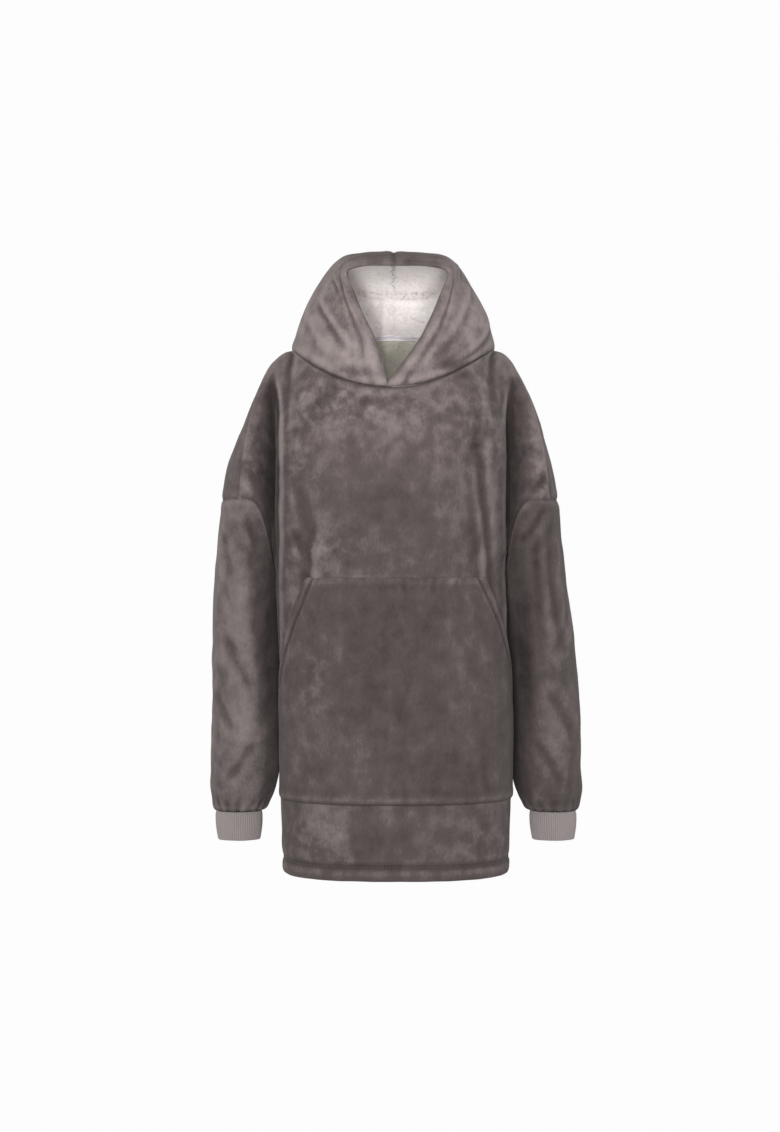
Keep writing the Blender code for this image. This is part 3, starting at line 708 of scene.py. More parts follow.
def hood_sheet(side):
    """Points and outward directions of a hood half."""
    alongs = [column / (2 * NECK_COLUMNS) for column in range(2 * NECK_COLUMNS + 1)]
    ups = [row / HOOD_ROWS for row in range(HOOD_ROWS + 1)]
    points = np.array([[hood_point(along, up, side) for along in alongs] for up in ups])
    normals = sheet_normals(points, flip=side < 0)

    # Along the centre seam both halves face straight up and back
    seam = np.concatenate([points[:, -1], points[-1, -2::-1]])
    runs = np.gradient(seam, axis=0)
    facing = unit(np.stack([np.zeros(len(runs)), runs[:, 2], -runs[:, 1]], axis=1))
    normals[:, -1] = facing[:HOOD_ROWS + 1]
    normals[-1] = facing[HOOD_ROWS:][::-1]
    return points, normals

hoods = {side: hood_sheet(side) for side in (1, -1)}
print("points in a hood half's coarse sheet:", hoods[1][0].shape[:2])

# %% [markdown]
# ## From a coarse sheet to a fine one
# The coarse sheets have a point every few centimetres. Cloth needs one every few millimetres. A
# Subdivision Surface modifier would smooth them, but it pulls the edges in and opens the seams. A smooth
# curve through the rows, and then through the columns, keeps every edge on its seam line.

# %% Make a sheet fine
def row_places(sheet):
    """How far along the cloth each row lies, on average."""
    steps = np.linalg.norm(np.diff(sheet[:, :, :3], axis=0), axis=2).mean(axis=1)
    return np.concatenate([[0.0], np.cumsum(steps)])


def refine(sheet, spacing, around=False):
    """The same sheet with a point at every spacing. What else is stacked behind x, y and z comes along."""
    places = row_places(sheet)
    steps = round(places[-1] / spacing)
    turned = rows_at(sheet, places, np.linspace(0.0, places[-1], steps + 1)).transpose(1, 0, 2)
    if around:
        turned = np.concatenate([turned[-3:], turned, turned[:4]])
    places = row_places(turned)
    first, last = (places[3], places[-4]) if around else (0.0, places[-1])
    wanted = np.linspace(first, last, round((last - first) / spacing) + 1)
    if around:
        wanted = wanted[:-1]
    return rows_at(turned, places, wanted).transpose(1, 0, 2)


def fine_sheet(spacing, points, normals, *extras, around=False):
    """Points, outward directions and extra values of a sheet, read at every spacing."""
    sheet = np.concatenate([points, normals, *(extra[:, :, None] for extra in extras)], axis=2)
    sheet = refine(sheet, spacing, around)
    return sheet[..., :3], unit(sheet[..., 3:6]), *(sheet[..., place] for place in range(6, sheet.shape[2]))


neck_to_crown = float(row_places(hoods[1][0])[-1])
print("from the neck to the hood's crown:", round(neck_to_crown, 3), "m along the cloth")

# %% Distances to the seams
def lengths_along(points):
    """How far each point of a line, or of the lines down a sheet, is from the first one."""
    steps = np.linalg.norm(np.diff(points, axis=0), axis=-1)
    return np.concatenate([np.zeros((1, *steps.shape[1:])), np.cumsum(steps, axis=0)])


def turned(array):
    """A sheet with its rows and columns changed over."""
    return np.swapaxes(array, 0, 1)


def edge_distances(points):
    """How far each point of a sheet is from its four edges, along the cloth."""
    down = lengths_along(points)
    across = turned(lengths_along(turned(points)))
    return {
        "first_row": down,
        "last_row": down[-1] - down,
        "first_column": across,
        "last_column": across[:, -1:] - across,
    }


side_edge = edge_distances(panel_grid(True))["first_row"][-1, 0]
print("from the front's hem to its top, up the side:", round(float(side_edge), 3), "m")

# %% [markdown]
# ## Seams, creases and crumples as relief
# Plush cloth dips where it is sewn and swells beside the seam. Creases are soft troughs with a rounded
# lip on one side. Each is a row of a short table with its two ends, width and depth, so that the cloth
# stays as uneven as the real one. A cloth simulation would crease by chance and miss the creases that
# this garment has, so they are placed one by one. Finer lumps come from smooth noise.

# %% Seam relief
SEAM_DEPTH = 0.0022
ARMHOLE_DIP = 0.0016
SEAM_WIDTH = 0.0034
SEAM_PUFF = 0.0008
PUFF_PLACE = 3.4
PUFF_WIDTH = 2.2
# Creases fade out this near a seam
SEAM_CALM = 0.014


def groove(distance, depth, width):
    """A narrow dent under a row of stitches."""
    return -depth * bell(distance, width)


def seam_relief(distance, depth=SEAM_DEPTH, width=SEAM_WIDTH):
    """A dip at a seam, and beside it a low swell, placed and sized in widths of the dip."""
    puff = SEAM_PUFF * bell(distance - PUFF_PLACE * width, PUFF_WIDTH * width)
    return groove(distance, depth, width) + puff


def line_at(points, normals, distance, reach):
    """The line at one distance from a sheet's edge, with its directions. Rows count from that edge."""
    run, facing = [], []
    for column in range(points.shape[1]):
        place = float(np.interp(reach, distance[:, column], np.arange(len(points))))
        low = min(int(place), len(points) - 2)
        share = place - low
        run.append(points[low, column] * (1 - share) + points[low + 1, column] * share)
        facing.append(normals[low, column] * (1 - share) + normals[low + 1, column] * share)
    return np.array(run), unit(np.array(facing))


print("depth of a seam:", SEAM_DEPTH)

# %% Creases and lumps
LIP_PLACE = 1.6
Crease = namedtuple("Crease", "u_start v_start u_end v_end bow width depth lip")


def crease_relief(u, v, creases):
    """Height of the cloth over its creases. A negative width puts the lip on the other side."""
    relief = np.zeros_like(u)
    for crease in creases:
        run_u = crease.u_end - crease.u_start
        run_v = crease.v_end - crease.v_start
        length = math.hypot(run_u, run_v)
        along = ((u - crease.u_start) * run_u + (v - crease.v_start) * run_v) / length**2
        off = ((u - crease.u_start) * run_v - (v - crease.v_start) * run_u) / length
        inside = np.clip(along, 0.0, 1.0)
        off = (off - 4.0 * crease.bow * inside * (1.0 - inside)) / crease.width
        form = crease.lip * bell(off - LIP_PLACE, 1.0) - crease.depth * bell(off, 1.0)
        relief += form * fade_ends(along, CREASE_REACH)
    return relief


def lumps(points, size, seed):
    """Smooth random heights between about -1 and 1, with lumps of one size."""
    shift = Vector((7.3 * seed, 3.1 * seed, 1.7 * seed))
    scaled = points[:, :, :3].reshape(-1, 3) / size
    return np.array([noise.noise(Vector(point) + shift) for point in scaled]).reshape(points.shape[:2])


BROAD_CRUSH = 0.0022
BROAD_CRUSH_SIZE = 0.075
FINE_CRUSH = 0.0011
FINE_CRUSH_SIZE = 0.028
def crushed(points, seed):
    """Shallow lumps of a soft lined cloth: broad ones and small ones."""
    broad = BROAD_CRUSH * lumps(points, size=BROAD_CRUSH_SIZE, seed=seed)
    return broad + FINE_CRUSH * lumps(points, size=FINE_CRUSH_SIZE, seed=seed + 1)


print("a lump is between -1 and 1:", round(noise.noise(Vector((0.3, 0.7, 0.1))), 3))

# %% [markdown]
# ## Painted shading and the lay of the nap
# Each point gets one number that the material reads. Most of it is painted light and shade: painted
# shade in hollows and a painted highlight on rounded folds, from how far the point lies below or above
# the cloth around it. A few broad patches add where a hand has brushed the pile, and some of them are
# painted shade. Painting an image would do it too, but it would not follow the creases.

# %% Painted shade in hollows, and patches of brushed pile and of painted shade
HOLLOW_REACH = 2
# Painted shade in hollows and painted highlight on folds, for each metre a point lies below or above the
# cloth round it
HOLLOW_PAINTED_SHADE = 240.0
Patch = namedtuple("Patch", "x z reach_x reach_z amount")


def hollowness(points, normals, around=False):
    """How far each point lies under the cloth round it, in metres."""
    reach = HOLLOW_REACH
    padded = np.pad(points, ((reach, reach), (0, 0), (0, 0)), mode="edge")
    padded = np.pad(padded, ((0, 0), (reach, reach), (0, 0)), mode="wrap" if around else "edge")
    inner = slice(reach, -reach)
    up_and_down = padded[2 * reach:, inner] + padded[:-2 * reach, inner]
    beside = padded[inner, 2 * reach:] + padded[inner, :-2 * reach]
    return (((up_and_down + beside) / 4 - points) * normals).sum(axis=2)


def summed_patches(x, z, patches):
    """The sum of broad patches: light and dark of brushed pile and of painted shade, or how mottled the pile
    is.
    """
    amount = np.zeros_like(x)
    for patch in patches:
        amount += patch.amount * bell(x - patch.x, patch.reach_x) * bell(z - patch.z, patch.reach_z)
    return amount


def painted_shading_and_nap(points, normals, patches=(), around=False, most=0.30):
    """Painted shading and the lay of the nap: above 0 is lighter, below 0 is darker. Hollows get painted
    shade and folds a painted highlight, by most at the most.
    """
    shade = -HOLLOW_PAINTED_SHADE * hollowness(points, normals, around)
    return most * np.tanh(shade / most) + summed_patches(points[..., 0], points[..., 2], patches)


print("nap is read", HOLLOW_REACH, "points out")

# %% [markdown]
# ## Turning a sheet into cloth
# Cloth has two faces and an edge. Solidify would thicken a sheet evenly, but a turned hem is thicker than
# the cloth above it and its edge is round. So the outer and inner face are both given, and rings of points
# join them round the edge: a half circle where the edge is turned, and a flat strip inside a seam.

# %% Make a closed piece of cloth
EDGE_STEPS = 4
SHARP_ANGLE = 65.0
PLAIN_RUFFLE = 0.30
PIECES = {}


def edge_runs(rows, columns, around):
    """The closed runs of points along the edges of a sheet: one on a flat sheet, two on a tube."""
    if around:
        return [
            [(0, column) for column in range(columns)],
            [(rows - 1, column) for column in range(columns - 1, -1, -1)],
        ]
    run = [(0, column) for column in range(columns - 1)]
    run += [(row, columns - 1) for row in range(rows - 1)]
    run += [(rows - 1, column) for column in range(columns - 1, 0, -1)]
    run += [(row, 0) for row in range(rows - 1, 0, -1)]
    return [run]


def edge_outward(points, spot, rounded, around):
    """The direction in which a turned edge bulges at one of its points."""
    rows, columns = points.shape[:2]
    row, column = spot
    edges = [("first_row", row == 0, (1, column)), ("last_row", row == rows - 1, (-2, column))]
    if not around:
        edges += [("first_column", column == 0, (row, 1)), ("last_column", column == columns - 1, (row, -2))]
    outward = np.zeros(3)
    for edge, touched, further_in in edges:
        if touched:
            outward += unit(points[row, column] - points[further_in]) * rounded.get(edge, 0.0)
    length = np.linalg.norm(outward)
    return outward / length if length > 1.0 else outward


def grid_faces(index, around):
    """Four-sided faces over a grid of point numbers."""
    left = index if around else index[:, :-1]
    right = np.roll(index, -1, axis=1) if around else index[:, 1:]
    return np.stack([left[:-1], right[:-1], right[1:], left[1:]], axis=-1).reshape(-1, 4)


def face_out(vertices, faces):
    """The faces of a closed mesh, turned over if they look inwards."""
    first, second, third, fourth = vertices[faces].transpose(1, 0, 2)
    volume = (first * (np.cross(second, third) + np.cross(third, fourth))).sum()
    return faces[:, ::-1] if volume < 0 else faces


def add_values(mesh, name, values):
    """Gives each point of a mesh a number that its material can read."""
    attribute = mesh.attributes.new(name, "FLOAT", "POINT")
    attribute.data.foreach_set("value", values.astype(np.float32))


def add_object(name, data):
    """Puts a mesh, a light or a camera in the scene."""
    added = bpy.data.objects.new(name, data)
    bpy.context.scene.collection.objects.link(added)
    return added


def make_cloth(
    name, outer, inner, materials, rounded=None, around=False, shade=None, lined=None, ruffle=PLAIN_RUFFLE
):
    """A closed piece of cloth from its outer and inner face. lined marks faces of the inner side."""
    rows, columns = outer.shape[:2]
    count = rows * columns
    index = np.arange(count).reshape(rows, columns)
    vertices = [outer.reshape(-1, 3), inner.reshape(-1, 3)]
    values = [np.zeros(count) if shade is None else shade.reshape(-1), np.zeros(count)]
    faces = [grid_faces(index, around), grid_faces(index + count, around)[:, ::-1]]
    total = 2 * count
    for run in edge_runs(rows, columns, around):
        picked = tuple(np.array(run).T)
        middle, half = (outer[picked] + inner[picked]) / 2, (outer[picked] - inner[picked]) / 2
        radius = np.linalg.norm(half, axis=1, keepdims=True)
        bulge = np.array([edge_outward(outer, spot, rounded or {}, around) for spot in run]) * radius
        rings = [index[picked]]
        for step in range(1, EDGE_STEPS):
            turn = math.pi * step / EDGE_STEPS
            vertices.append(middle + half * math.cos(turn) + bulge * math.sin(turn))
            values.append(values[0][index[picked]])
            rings.append(total + np.arange(len(run)))
            total += len(run)
        rings.append(index[picked] + count)
        for before, after in zip(rings, rings[1:]):
            faces.append(np.stack([np.roll(before, -1), before, after, np.roll(after, -1)], axis=-1))
    vertices = np.concatenate(vertices)
    faces = face_out(vertices, np.concatenate(faces))
    mesh = bpy.data.meshes.new(name)
    mesh.from_pydata(vertices.tolist(), [], faces.tolist())
    for material in materials:
        mesh.materials.append(material)
    if lined is not None:
        kinds = np.zeros(len(faces), dtype=np.int32)
        kinds[lined.size:2 * lined.size] = lined.reshape(-1)
        mesh.polygons.foreach_set("material_index", kinds)
    add_values(mesh, "painted_shading_and_nap", np.concatenate(values))
    strength = np.full(len(vertices), PLAIN_RUFFLE)
    strength[:count] = np.broadcast_to(ruffle, (rows, columns)).reshape(-1)
    add_values(mesh, "ruffle", strength)
    mesh.shade_smooth()
    mesh.set_sharp_from_angle(angle=math.radians(SHARP_ANGLE))
    PIECES[name] = add_object(name, mesh)
    print(name, "has", 2 * len(faces), "triangles")
    return PIECES[name]


print("a turned edge has", EDGE_STEPS, "facets round it")

# %% [markdown]
# ## Plush fleece
# The pile is short, dense and a little crushed, so its colour drifts between a warm dark grey and a paler
# one in blotches and upright streaks. Four noises make the blotches and streaks. The value from the mesh
# adds painted shade in the hollows of the folds and painted highlights on them, with brushed patches. A
# little sheen pales the cloth where it curves away. Hair particles would show single fibres that are too
# fine to see here, so the pile itself is bump.

# %% Node helpers
CLOTH_SPECULAR = 0.15
Finish = namedtuple("Finish", "roughness sheen sheen_roughness sheen_tint")


def add_node(tree, kind, **settings):
    """A shader node with its settings. Names with a capital letter are its inputs."""
    node = tree.nodes.new("ShaderNode" + kind)
    for name, value in settings.items():
        if name[0].isupper():
            node.inputs[name.replace("_", " ")].default_value = value
        else:
            setattr(node, name, value)
    return node


def noise_at(tree, coordinates, scale, detail, distortion=0.0, rough=0.55):
    """A noise texture at a scale in lumps for each metre."""
    node = add_node(tree, "TexNoise", Scale=scale, Detail=detail, Distortion=distortion, Roughness=rough)
    tree.links.new(coordinates, node.inputs["Vector"])
    return node.outputs["Fac"]


def stretched(tree, coordinates, scale):
    """Coordinates stretched along each axis."""
    node = add_node(tree, "Mapping", Scale=scale)
    tree.links.new(coordinates, node.inputs["Vector"])
    return node.outputs["Vector"]


def weighted(tree, source, weight, base):
    """The source times a weight, added to a base."""
    node = add_node(tree, "Math", operation="MULTIPLY_ADD")
    tree.links.new(source, node.inputs[0])
    node.inputs[1].default_value = weight
    if isinstance(base, float):
        node.inputs[2].default_value = base
    else:
        tree.links.new(base, node.inputs[2])
    return node.outputs[0]


def colour_ramp(tree, source, stops):
    """Colours by a value, from a table of places and colours."""
    node = add_node(tree, "ValToRGB")
    elements = node.color_ramp.elements
    while len(elements) < len(stops):
        elements.new(0.5)
    for element, (place, colour) in zip(elements, stops):
        element.position = place
        element.color = (*colour, 1.0)
    tree.links.new(source, node.inputs["Fac"])
    return node.outputs["Color"]


def bump_chain(tree, layers):
    """Bumps laid over one another, from a table of height source, strength and depth."""
    normal = None
    for height, strength, depth in layers:
        node = add_node(tree, "Bump", Strength=strength, Distance=depth)
        tree.links.new(height, node.inputs["Height"])
        if normal is not None:
            tree.links.new(normal, node.inputs["Normal"])
        normal = node.outputs["Normal"]
    return normal


def point_value(tree, name):
    """The number that each point of the mesh carries under a name."""
    return add_node(tree, "Attribute", attribute_name=name).outputs["Fac"]


def new_cloth_material(name, finish):
    """A cloth material without its colours yet, its node tree and its coordinates."""
    material = bpy.data.materials.new(name)
    material.use_nodes = True
    tree = material.node_tree
    shader = tree.nodes["Principled BSDF"]
    shader.inputs["Roughness"].default_value = finish.roughness
    shader.inputs["Sheen Weight"].default_value = finish.sheen
    shader.inputs["Sheen Roughness"].default_value = finish.sheen_roughness
    shader.inputs["Sheen Tint"].default_value = (*finish.sheen_tint, 1.0)
    shader.inputs["Specular IOR Level"].default_value = CLOTH_SPECULAR
    return material, tree, add_node(tree, "TexCoord").outputs["Object"]


def colour_and_bump(tree, value, stops, bumps):
    """Joins a ramp of colours and a chain of bumps to a material's shader."""
    shader = tree.nodes["Principled BSDF"]
    tree.links.new(colour_ramp(tree, value, stops), shader.inputs["Base Color"])
    tree.links.new(bump_chain(tree, bumps), shader.inputs["Normal"])


print("node helpers are ready")

# %% Plush fleece material
MOTTLE_STRENGTH = 2.0
FLEECE_FINISH = Finish(0.92, 0.10, 0.45, (0.93, 0.87, 0.85))
FLEECE_DARK = (0.040, 0.031, 0.0305)
FLEECE_MIDDLE = (0.098, 0.079, 0.077)
FLEECE_LIGHT = (0.235, 0.198, 0.192)


def make_fleece():
    """Crushed plush in warm grey, mottled most where the ruffle value is high."""
    material, tree, place = new_cloth_material("plush_fleece_look", FLEECE_FINISH)
    upright = stretched(tree, place, (1.0, 1.0, 0.40))
    broad = noise_at(tree, place, scale=13.0, detail=3.0, distortion=0.8)
    streaks = noise_at(tree, upright, scale=42.0, detail=4.0, distortion=0.6)
    crush = noise_at(tree, place, scale=46.0, detail=3.5, distortion=0.25, rough=0.55)
    fine = noise_at(tree, upright, scale=420.0, detail=2.0)
    pile = noise_at(tree, place, scale=1100.0, detail=2.0)
    tufts = noise_at(tree, upright, scale=260.0, detail=3.0)
    mottle = add_node(tree, "Math", operation="MULTIPLY")
    tree.links.new(weighted(tree, crush, 1.0, -0.5), mottle.inputs[0])
    tree.links.new(point_value(tree, "ruffle"), mottle.inputs[1])
    layers = ((broad, 0.36), (streaks, 0.40), (fine, 0.30))
    # The mesh's value: painted shade in hollows and recesses, painted highlights on folds and crests, and
    # brushed patches
    total = weighted(tree, point_value(tree, "painted_shading_and_nap"), 1.0, 0.5 - 0.5 * sum(weight for _, weight in layers))
    total = weighted(tree, mottle.outputs[0], MOTTLE_STRENGTH, total)
    for source, weight in layers:
        total = weighted(tree, source, weight, total)
    stops = [(0.0, FLEECE_DARK), (0.5, FLEECE_MIDDLE), (1.0, FLEECE_LIGHT)]
    bumps = [(crush, 0.20, 0.0020), (tufts, 0.45, 0.0012), (pile, 0.50, 0.0006)]
    colour_and_bump(tree, total, stops, bumps)
    return material


fleece_look = make_fleece()
print("fleece colours:", FLEECE_DARK, FLEECE_MIDDLE, FLEECE_LIGHT)

# %% [markdown]
# ## Sherpa and rib knit
# The hood's lining is pale sherpa: knotted nubs a few millimetres across, modelled in the mesh, with
# fuzz on them as bump. The cuffs are a fine rib knit, paler than the fleece. Their ribs are modelled, and
# the rows of stitches are a wave in the bump.

# %% Sherpa, rib knit and thread materials
SHERPA_FINISH = Finish(0.95, 0.25, 0.50, (1.00, 0.97, 0.95))
RIB_FINISH = Finish(0.92, 0.30, 0.40, (0.95, 0.92, 0.90))
THREAD_FINISH = Finish(0.70, 0.20, 0.40, (1.00, 1.00, 1.00))
# The darkest colour is painted shade, deep in creases and between the nubs
SHERPA_PAINTED_HOLLOW_SHADE = (0.40, 0.365, 0.350)
SHERPA_SHADE = (0.70, 0.655, 0.635)
SHERPA_LIGHT = (0.90, 0.865, 0.850)
# A darker, olive copy of the sherpa's colours: painted shade for the lining inside the back
SHADOWED_SHERPA_HOLLOW = (0.22, 0.210, 0.175)
SHADOWED_SHERPA_SHADE = (0.385, 0.366, 0.306)
SHADOWED_SHERPA_LIGHT = (0.56, 0.530, 0.458)
RIB_SHADE = (0.255, 0.223, 0.221)
RIB_LIGHT = (0.370, 0.329, 0.325)


def make_sherpa(name, hollow, shaded, light):
    """Nubby pile between two colours, and a darker one for painted shade deep in its creases and between the
    nubs.
    """
    material, tree, place = new_cloth_material(name, SHERPA_FINISH)
    knots = noise_at(tree, place, scale=210.0, detail=3.0, distortion=0.5)
    broad = noise_at(tree, place, scale=24.0, detail=2.0)
    fuzz = noise_at(tree, place, scale=900.0, detail=3.0)
    # The mesh's value paints shade into creases and between nubs, and light onto crease lips and nub tops
    total = weighted(tree, broad, 0.35, weighted(tree, point_value(tree, "painted_shading_and_nap"), 1.0, -0.02))
    total = weighted(tree, knots, 0.6, total)
    stops = [(0.0, hollow), (0.22, shaded), (0.75, light)]
    colour_and_bump(tree, total, stops, [(knots, 0.6, 0.0014), (fuzz, 0.5, 0.0005)])
    return material


def make_rib_knit():
    """Fine rib knit in pale grey."""
    material, tree, place = new_cloth_material("rib_knit_look", RIB_FINISH)
    broad = noise_at(tree, place, scale=30.0, detail=3.0)
    yarn = noise_at(tree, stretched(tree, place, (1.0, 1.0, 0.5)), scale=700.0, detail=2.0)
    wave = add_node(tree, "TexWave", bands_direction="Z", Scale=230.0, Distortion=1.5, Detail=1.0)
    tree.links.new(place, wave.inputs["Vector"])
    # The mesh's value paints shade into the furrows between the ribs
    total = weighted(tree, broad, 0.30, weighted(tree, point_value(tree, "painted_shading_and_nap"), 1.0, 0.17))
    total = weighted(tree, yarn, 0.35, total)
    stops = [(0.1, RIB_SHADE), (0.9, RIB_LIGHT)]
    colour_and_bump(tree, total, stops, [(wave.outputs["Fac"], 0.35, 0.0004), (yarn, 0.4, 0.0004)])
    return material


def make_thread(name, colour):
    """Twisted sewing thread."""
    material, tree, place = new_cloth_material(name, THREAD_FINISH)
    twist = noise_at(tree, place, scale=1500.0, detail=1.0)
    stops = [(0.3, tuple(0.75 * part for part in colour)), (0.7, colour)]
    colour_and_bump(tree, twist, stops, [(twist, 0.3, 0.0002)])
    return material


sherpa_look = make_sherpa("sherpa_look", SHERPA_PAINTED_HOLLOW_SHADE, SHERPA_SHADE, SHERPA_LIGHT)
painted_shade_sherpa_look = make_sherpa("painted_shade_sherpa_look", SHADOWED_SHERPA_HOLLOW, SHADOWED_SHERPA_SHADE, SHADOWED_SHERPA_LIGHT)
rib_look = make_rib_knit()
thread_look = make_thread("thread_look", (0.115, 0.095, 0.092))
crown_thread_look = make_thread("crown_thread_look", (0.44, 0.44, 0.53))
tape_look = make_thread("neck_tape_look", (0.66, 0.62, 0.68))
print("materials:", [name for name in bpy.data.materials.keys() if name.endswith("_look")])

# %% [markdown]
# ## Front and back
# Each is one big panel, from the hem to the shoulder, and it turns back beside the arm in a long upright
# fold. The fine sheet keeps the panel's own rows and columns, so seams, hem and creases are all simple
# sums of distances. The hem is turned up, thicker than the cloth, and dented by its row of stitches.

# %% Creases and brushed patches of the body
FRONT_CREASES = [
    Crease(0.200, -0.262, 0.248, -0.203, 0.004, 0.008, 0.0032, 0.0030),
    Crease(0.214, -0.268, 0.244, -0.236, -0.002, 0.006, 0.0022, 0.0018),
    Crease(-0.118, -0.092, -0.140, -0.122, 0.004, 0.013, 0.0016, 0.0010),
    Crease(-0.068, -0.086, -0.098, -0.104, -0.004, 0.011, 0.0013, 0.0009),
    Crease(-0.040, -0.092, -0.052, -0.112, 0.003, 0.009, 0.0010, 0.0008),
    Crease(0.070, -0.066, 0.125, -0.050, -0.004, -0.008, 0.0016, 0.0016),
    Crease(0.1355, -0.185, 0.147, -0.300, 0.001, 0.0080, 0.0030, 0.0026),
    Crease(0.146, -0.280, 0.158, -0.440, 0.001, 0.0080, 0.0034, 0.0026),
    Crease(0.157, -0.420, 0.164, -0.560, 0.002, 0.0100, 0.0030, 0.0020),
    Crease(-0.139, -0.310, -0.142, -0.400, 0.002, -0.010, 0.0026, 0.0020),
    Crease(-0.145, -0.375, -0.176, -0.520, -0.004, -0.010, 0.0034, 0.0020),
    Crease(-0.085, -0.330, -0.140, -0.372, 0.003, 0.012, 0.0010, 0.0008),
    Crease(0.020, -0.765, 0.120, -0.800, 0.004, 0.018, 0.0010, 0.0008),
    Crease(-0.150, -0.770, -0.120, -0.830, 0.003, 0.014, 0.0016, 0.0012),
]
BACK_CREASES = [
    Crease(0.040, -0.060, 0.120, -0.140, 0.006, 0.014, 0.0026, 0.0016),
    Crease(-0.050, -0.070, -0.120, -0.130, -0.006, 0.013, 0.0022, 0.0014),
    Crease(-0.130, -0.180, -0.120, -0.420, 0.010, 0.015, 0.0042, 0.0024),
    Crease(0.125, -0.160, 0.140, -0.380, -0.008, -0.014, 0.0040, 0.0022),
    Crease(0.010, -0.260, -0.030, -0.560, 0.012, 0.020, 0.0030, 0.0016),
    Crease(-0.160, -0.480, -0.060, -0.600, 0.010, 0.016, 0.0028, 0.0018),
    Crease(0.160, -0.500, 0.080, -0.640, -0.008, 0.015, 0.0030, 0.0018),
    Crease(0.050, -0.640, 0.075, -0.820, 0.004, 0.017, 0.0022, 0.0012),
    Crease(-0.090, -0.660, -0.105, -0.830, -0.004, 0.016, 0.0024, 0.0014),
]
FRONT_PATCHES = [
    Patch(-0.110, -0.115, 0.050, 0.035, 0.06),
    Patch(-0.020, -0.140, 0.090, 0.030, 0.12),
    Patch(0.060, -0.175, 0.060, 0.035, 0.06),
    Patch(0.130, -0.165, 0.030, 0.035, -0.14),
    Patch(-0.120, -0.090, 0.025, 0.025, -0.12),
    Patch(-0.010, -0.260, 0.070, 0.055, -0.12),
    Patch(-0.110, -0.340, 0.040, 0.040, 0.08),
    Patch(-0.150, -0.560, 0.035, 0.110, 0.12),
    Patch(0.120, -0.520, 0.040, 0.090, 0.08),
    Patch(0.000, -0.520, 0.060, 0.090, -0.04),
    Patch(-0.070, -0.680, 0.060, 0.050, 0.08),
    Patch(0.100, -0.690, 0.050, 0.060, -0.06),
    Patch(-0.160, -0.790, 0.025, 0.030, -0.14),
    Patch(-0.112, -0.785, 0.030, 0.034, 0.26),
    Patch(-0.040, -0.800, 0.040, 0.030, -0.12),
    Patch(0.080, -0.790, 0.080, 0.035, 0.05),
    Patch(0.000, -0.830, 0.300, 0.050, -0.10),
    Patch(0.238, -0.170, 0.020, 0.060, 0.14),
    # These two are painted shade along the neck seam, under the hood's edge
    Patch(-0.093, -0.052, 0.022, 0.009, -0.34),
    Patch(0.095, -0.046, 0.022, 0.008, -0.24),
]
BACK_PATCHES = [
    Patch(0.060, -0.120, 0.080, 0.050, 0.12),
    Patch(-0.100, -0.220, 0.050, 0.080, -0.10),
    Patch(0.020, -0.380, 0.090, 0.080, -0.08),
    Patch(0.120, -0.520, 0.050, 0.120, 0.10),
    Patch(-0.090, -0.640, 0.070, 0.080, 0.10),
    Patch(0.050, -0.780, 0.100, 0.050, -0.10),
]
BODY_RUFFLE = 0.22
FRONT_RUFFLES = [
    Patch(-0.104, -0.096, 0.055, 0.035, 0.80),
    Patch(0.014, -0.104, 0.050, 0.024, 0.50),
    Patch(0.133, -0.128, 0.035, 0.055, 0.60),
    Patch(-0.156, -0.180, 0.022, 0.070, 0.40),
    Patch(-0.120, -0.336, 0.045, 0.030, 0.60),
    Patch(-0.125, -0.790, 0.050, 0.035, 0.40),
    Patch(0.145, -0.800, 0.035, 0.035, 0.30),
    Patch(-0.128, -0.540, 0.030, 0.060, 0.30),
    Patch(0.235, -0.190, 0.045, 0.060, 0.40),
    Patch(-0.235, -0.170, 0.045, 0.080, 0.50),
]
BACK_RUFFLES = [
    Patch(0.080, -0.090, 0.070, 0.050, 0.60),
    Patch(-0.120, -0.160, 0.050, 0.060, 0.50),
    Patch(0.090, -0.480, 0.070, 0.080, 0.40),
    Patch(-0.060, -0.700, 0.080, 0.070, 0.50),
]
print("creases on the body:", len(FRONT_CREASES) + len(BACK_CREASES))

# %% Sew the front and back
BODY_SPACING = 0.0046
INNER_SHARE = 0.7
HEM_THICKNESS = 0.0062
HEM_STEP = 0.004
HEM_CALM = 0.015
LINING_START = HEM_DEPTH + 0.002
HEM_DENT = 0.0015
HEM_DENT_WIDTH = 0.0030
SMALL_LUMPS = 0.0009
HEM_LUMP_SIZE = 0.022
CHEST_LUMP_SIZE = 0.017
UNDER_POCKET = 0.0008
CREST_RISE = 0.0022
CREST_PLACE = {+1: 0.1765, -1: 0.1855}
CREST_FLARE = 0.010
CREST_FLARE_START = -0.115
CREST_FLARE_LENGTH = 0.08
CREST_WIDTH = 0.0042
CREST_TOP = {True: -0.035, False: -0.120}
CREST_FOOT = {True: -0.660, False: -0.420}
CREST_FADE_TOP = 0.05
CREST_FADE_FOOT = 0.16
# Painted highlight along the crest of the upright fold beside the arm, and painted shade in its recess
CREST_PAINTED_HIGHLIGHT = 0.24
RECESS_PAINTED_SHADE = {True: -0.50, False: -0.22}
RECESS_REACH = 0.034
RECESS_DEPTH = 0.0016
RECESS_FOOT = UNDERARM_HEIGHT + 0.02
RECESS_FADE = 0.05
CHEST_LUMPS_FOOT = -0.20
CHEST_LUMPS_FADE = 0.05
BESIDE_ARM = 0.185
BESIDE_ARM_FADE = 0.02
# A painted highlight along the front's shoulder seam, and painted shade on the back's yoke beside the arm
SEAM_LINE_PAINTED_HIGHLIGHT = 0.22
SEAM_LINE_WIDTH = 0.0036
BACK_YOKE_PAINTED_SHADE = -0.12
POCKET_FADE = 0.008
POCKET_FADE_ANGLE = 2.5
POCKET_SHADOW = 2.4
POCKET_SHADOW_NAP = -0.34


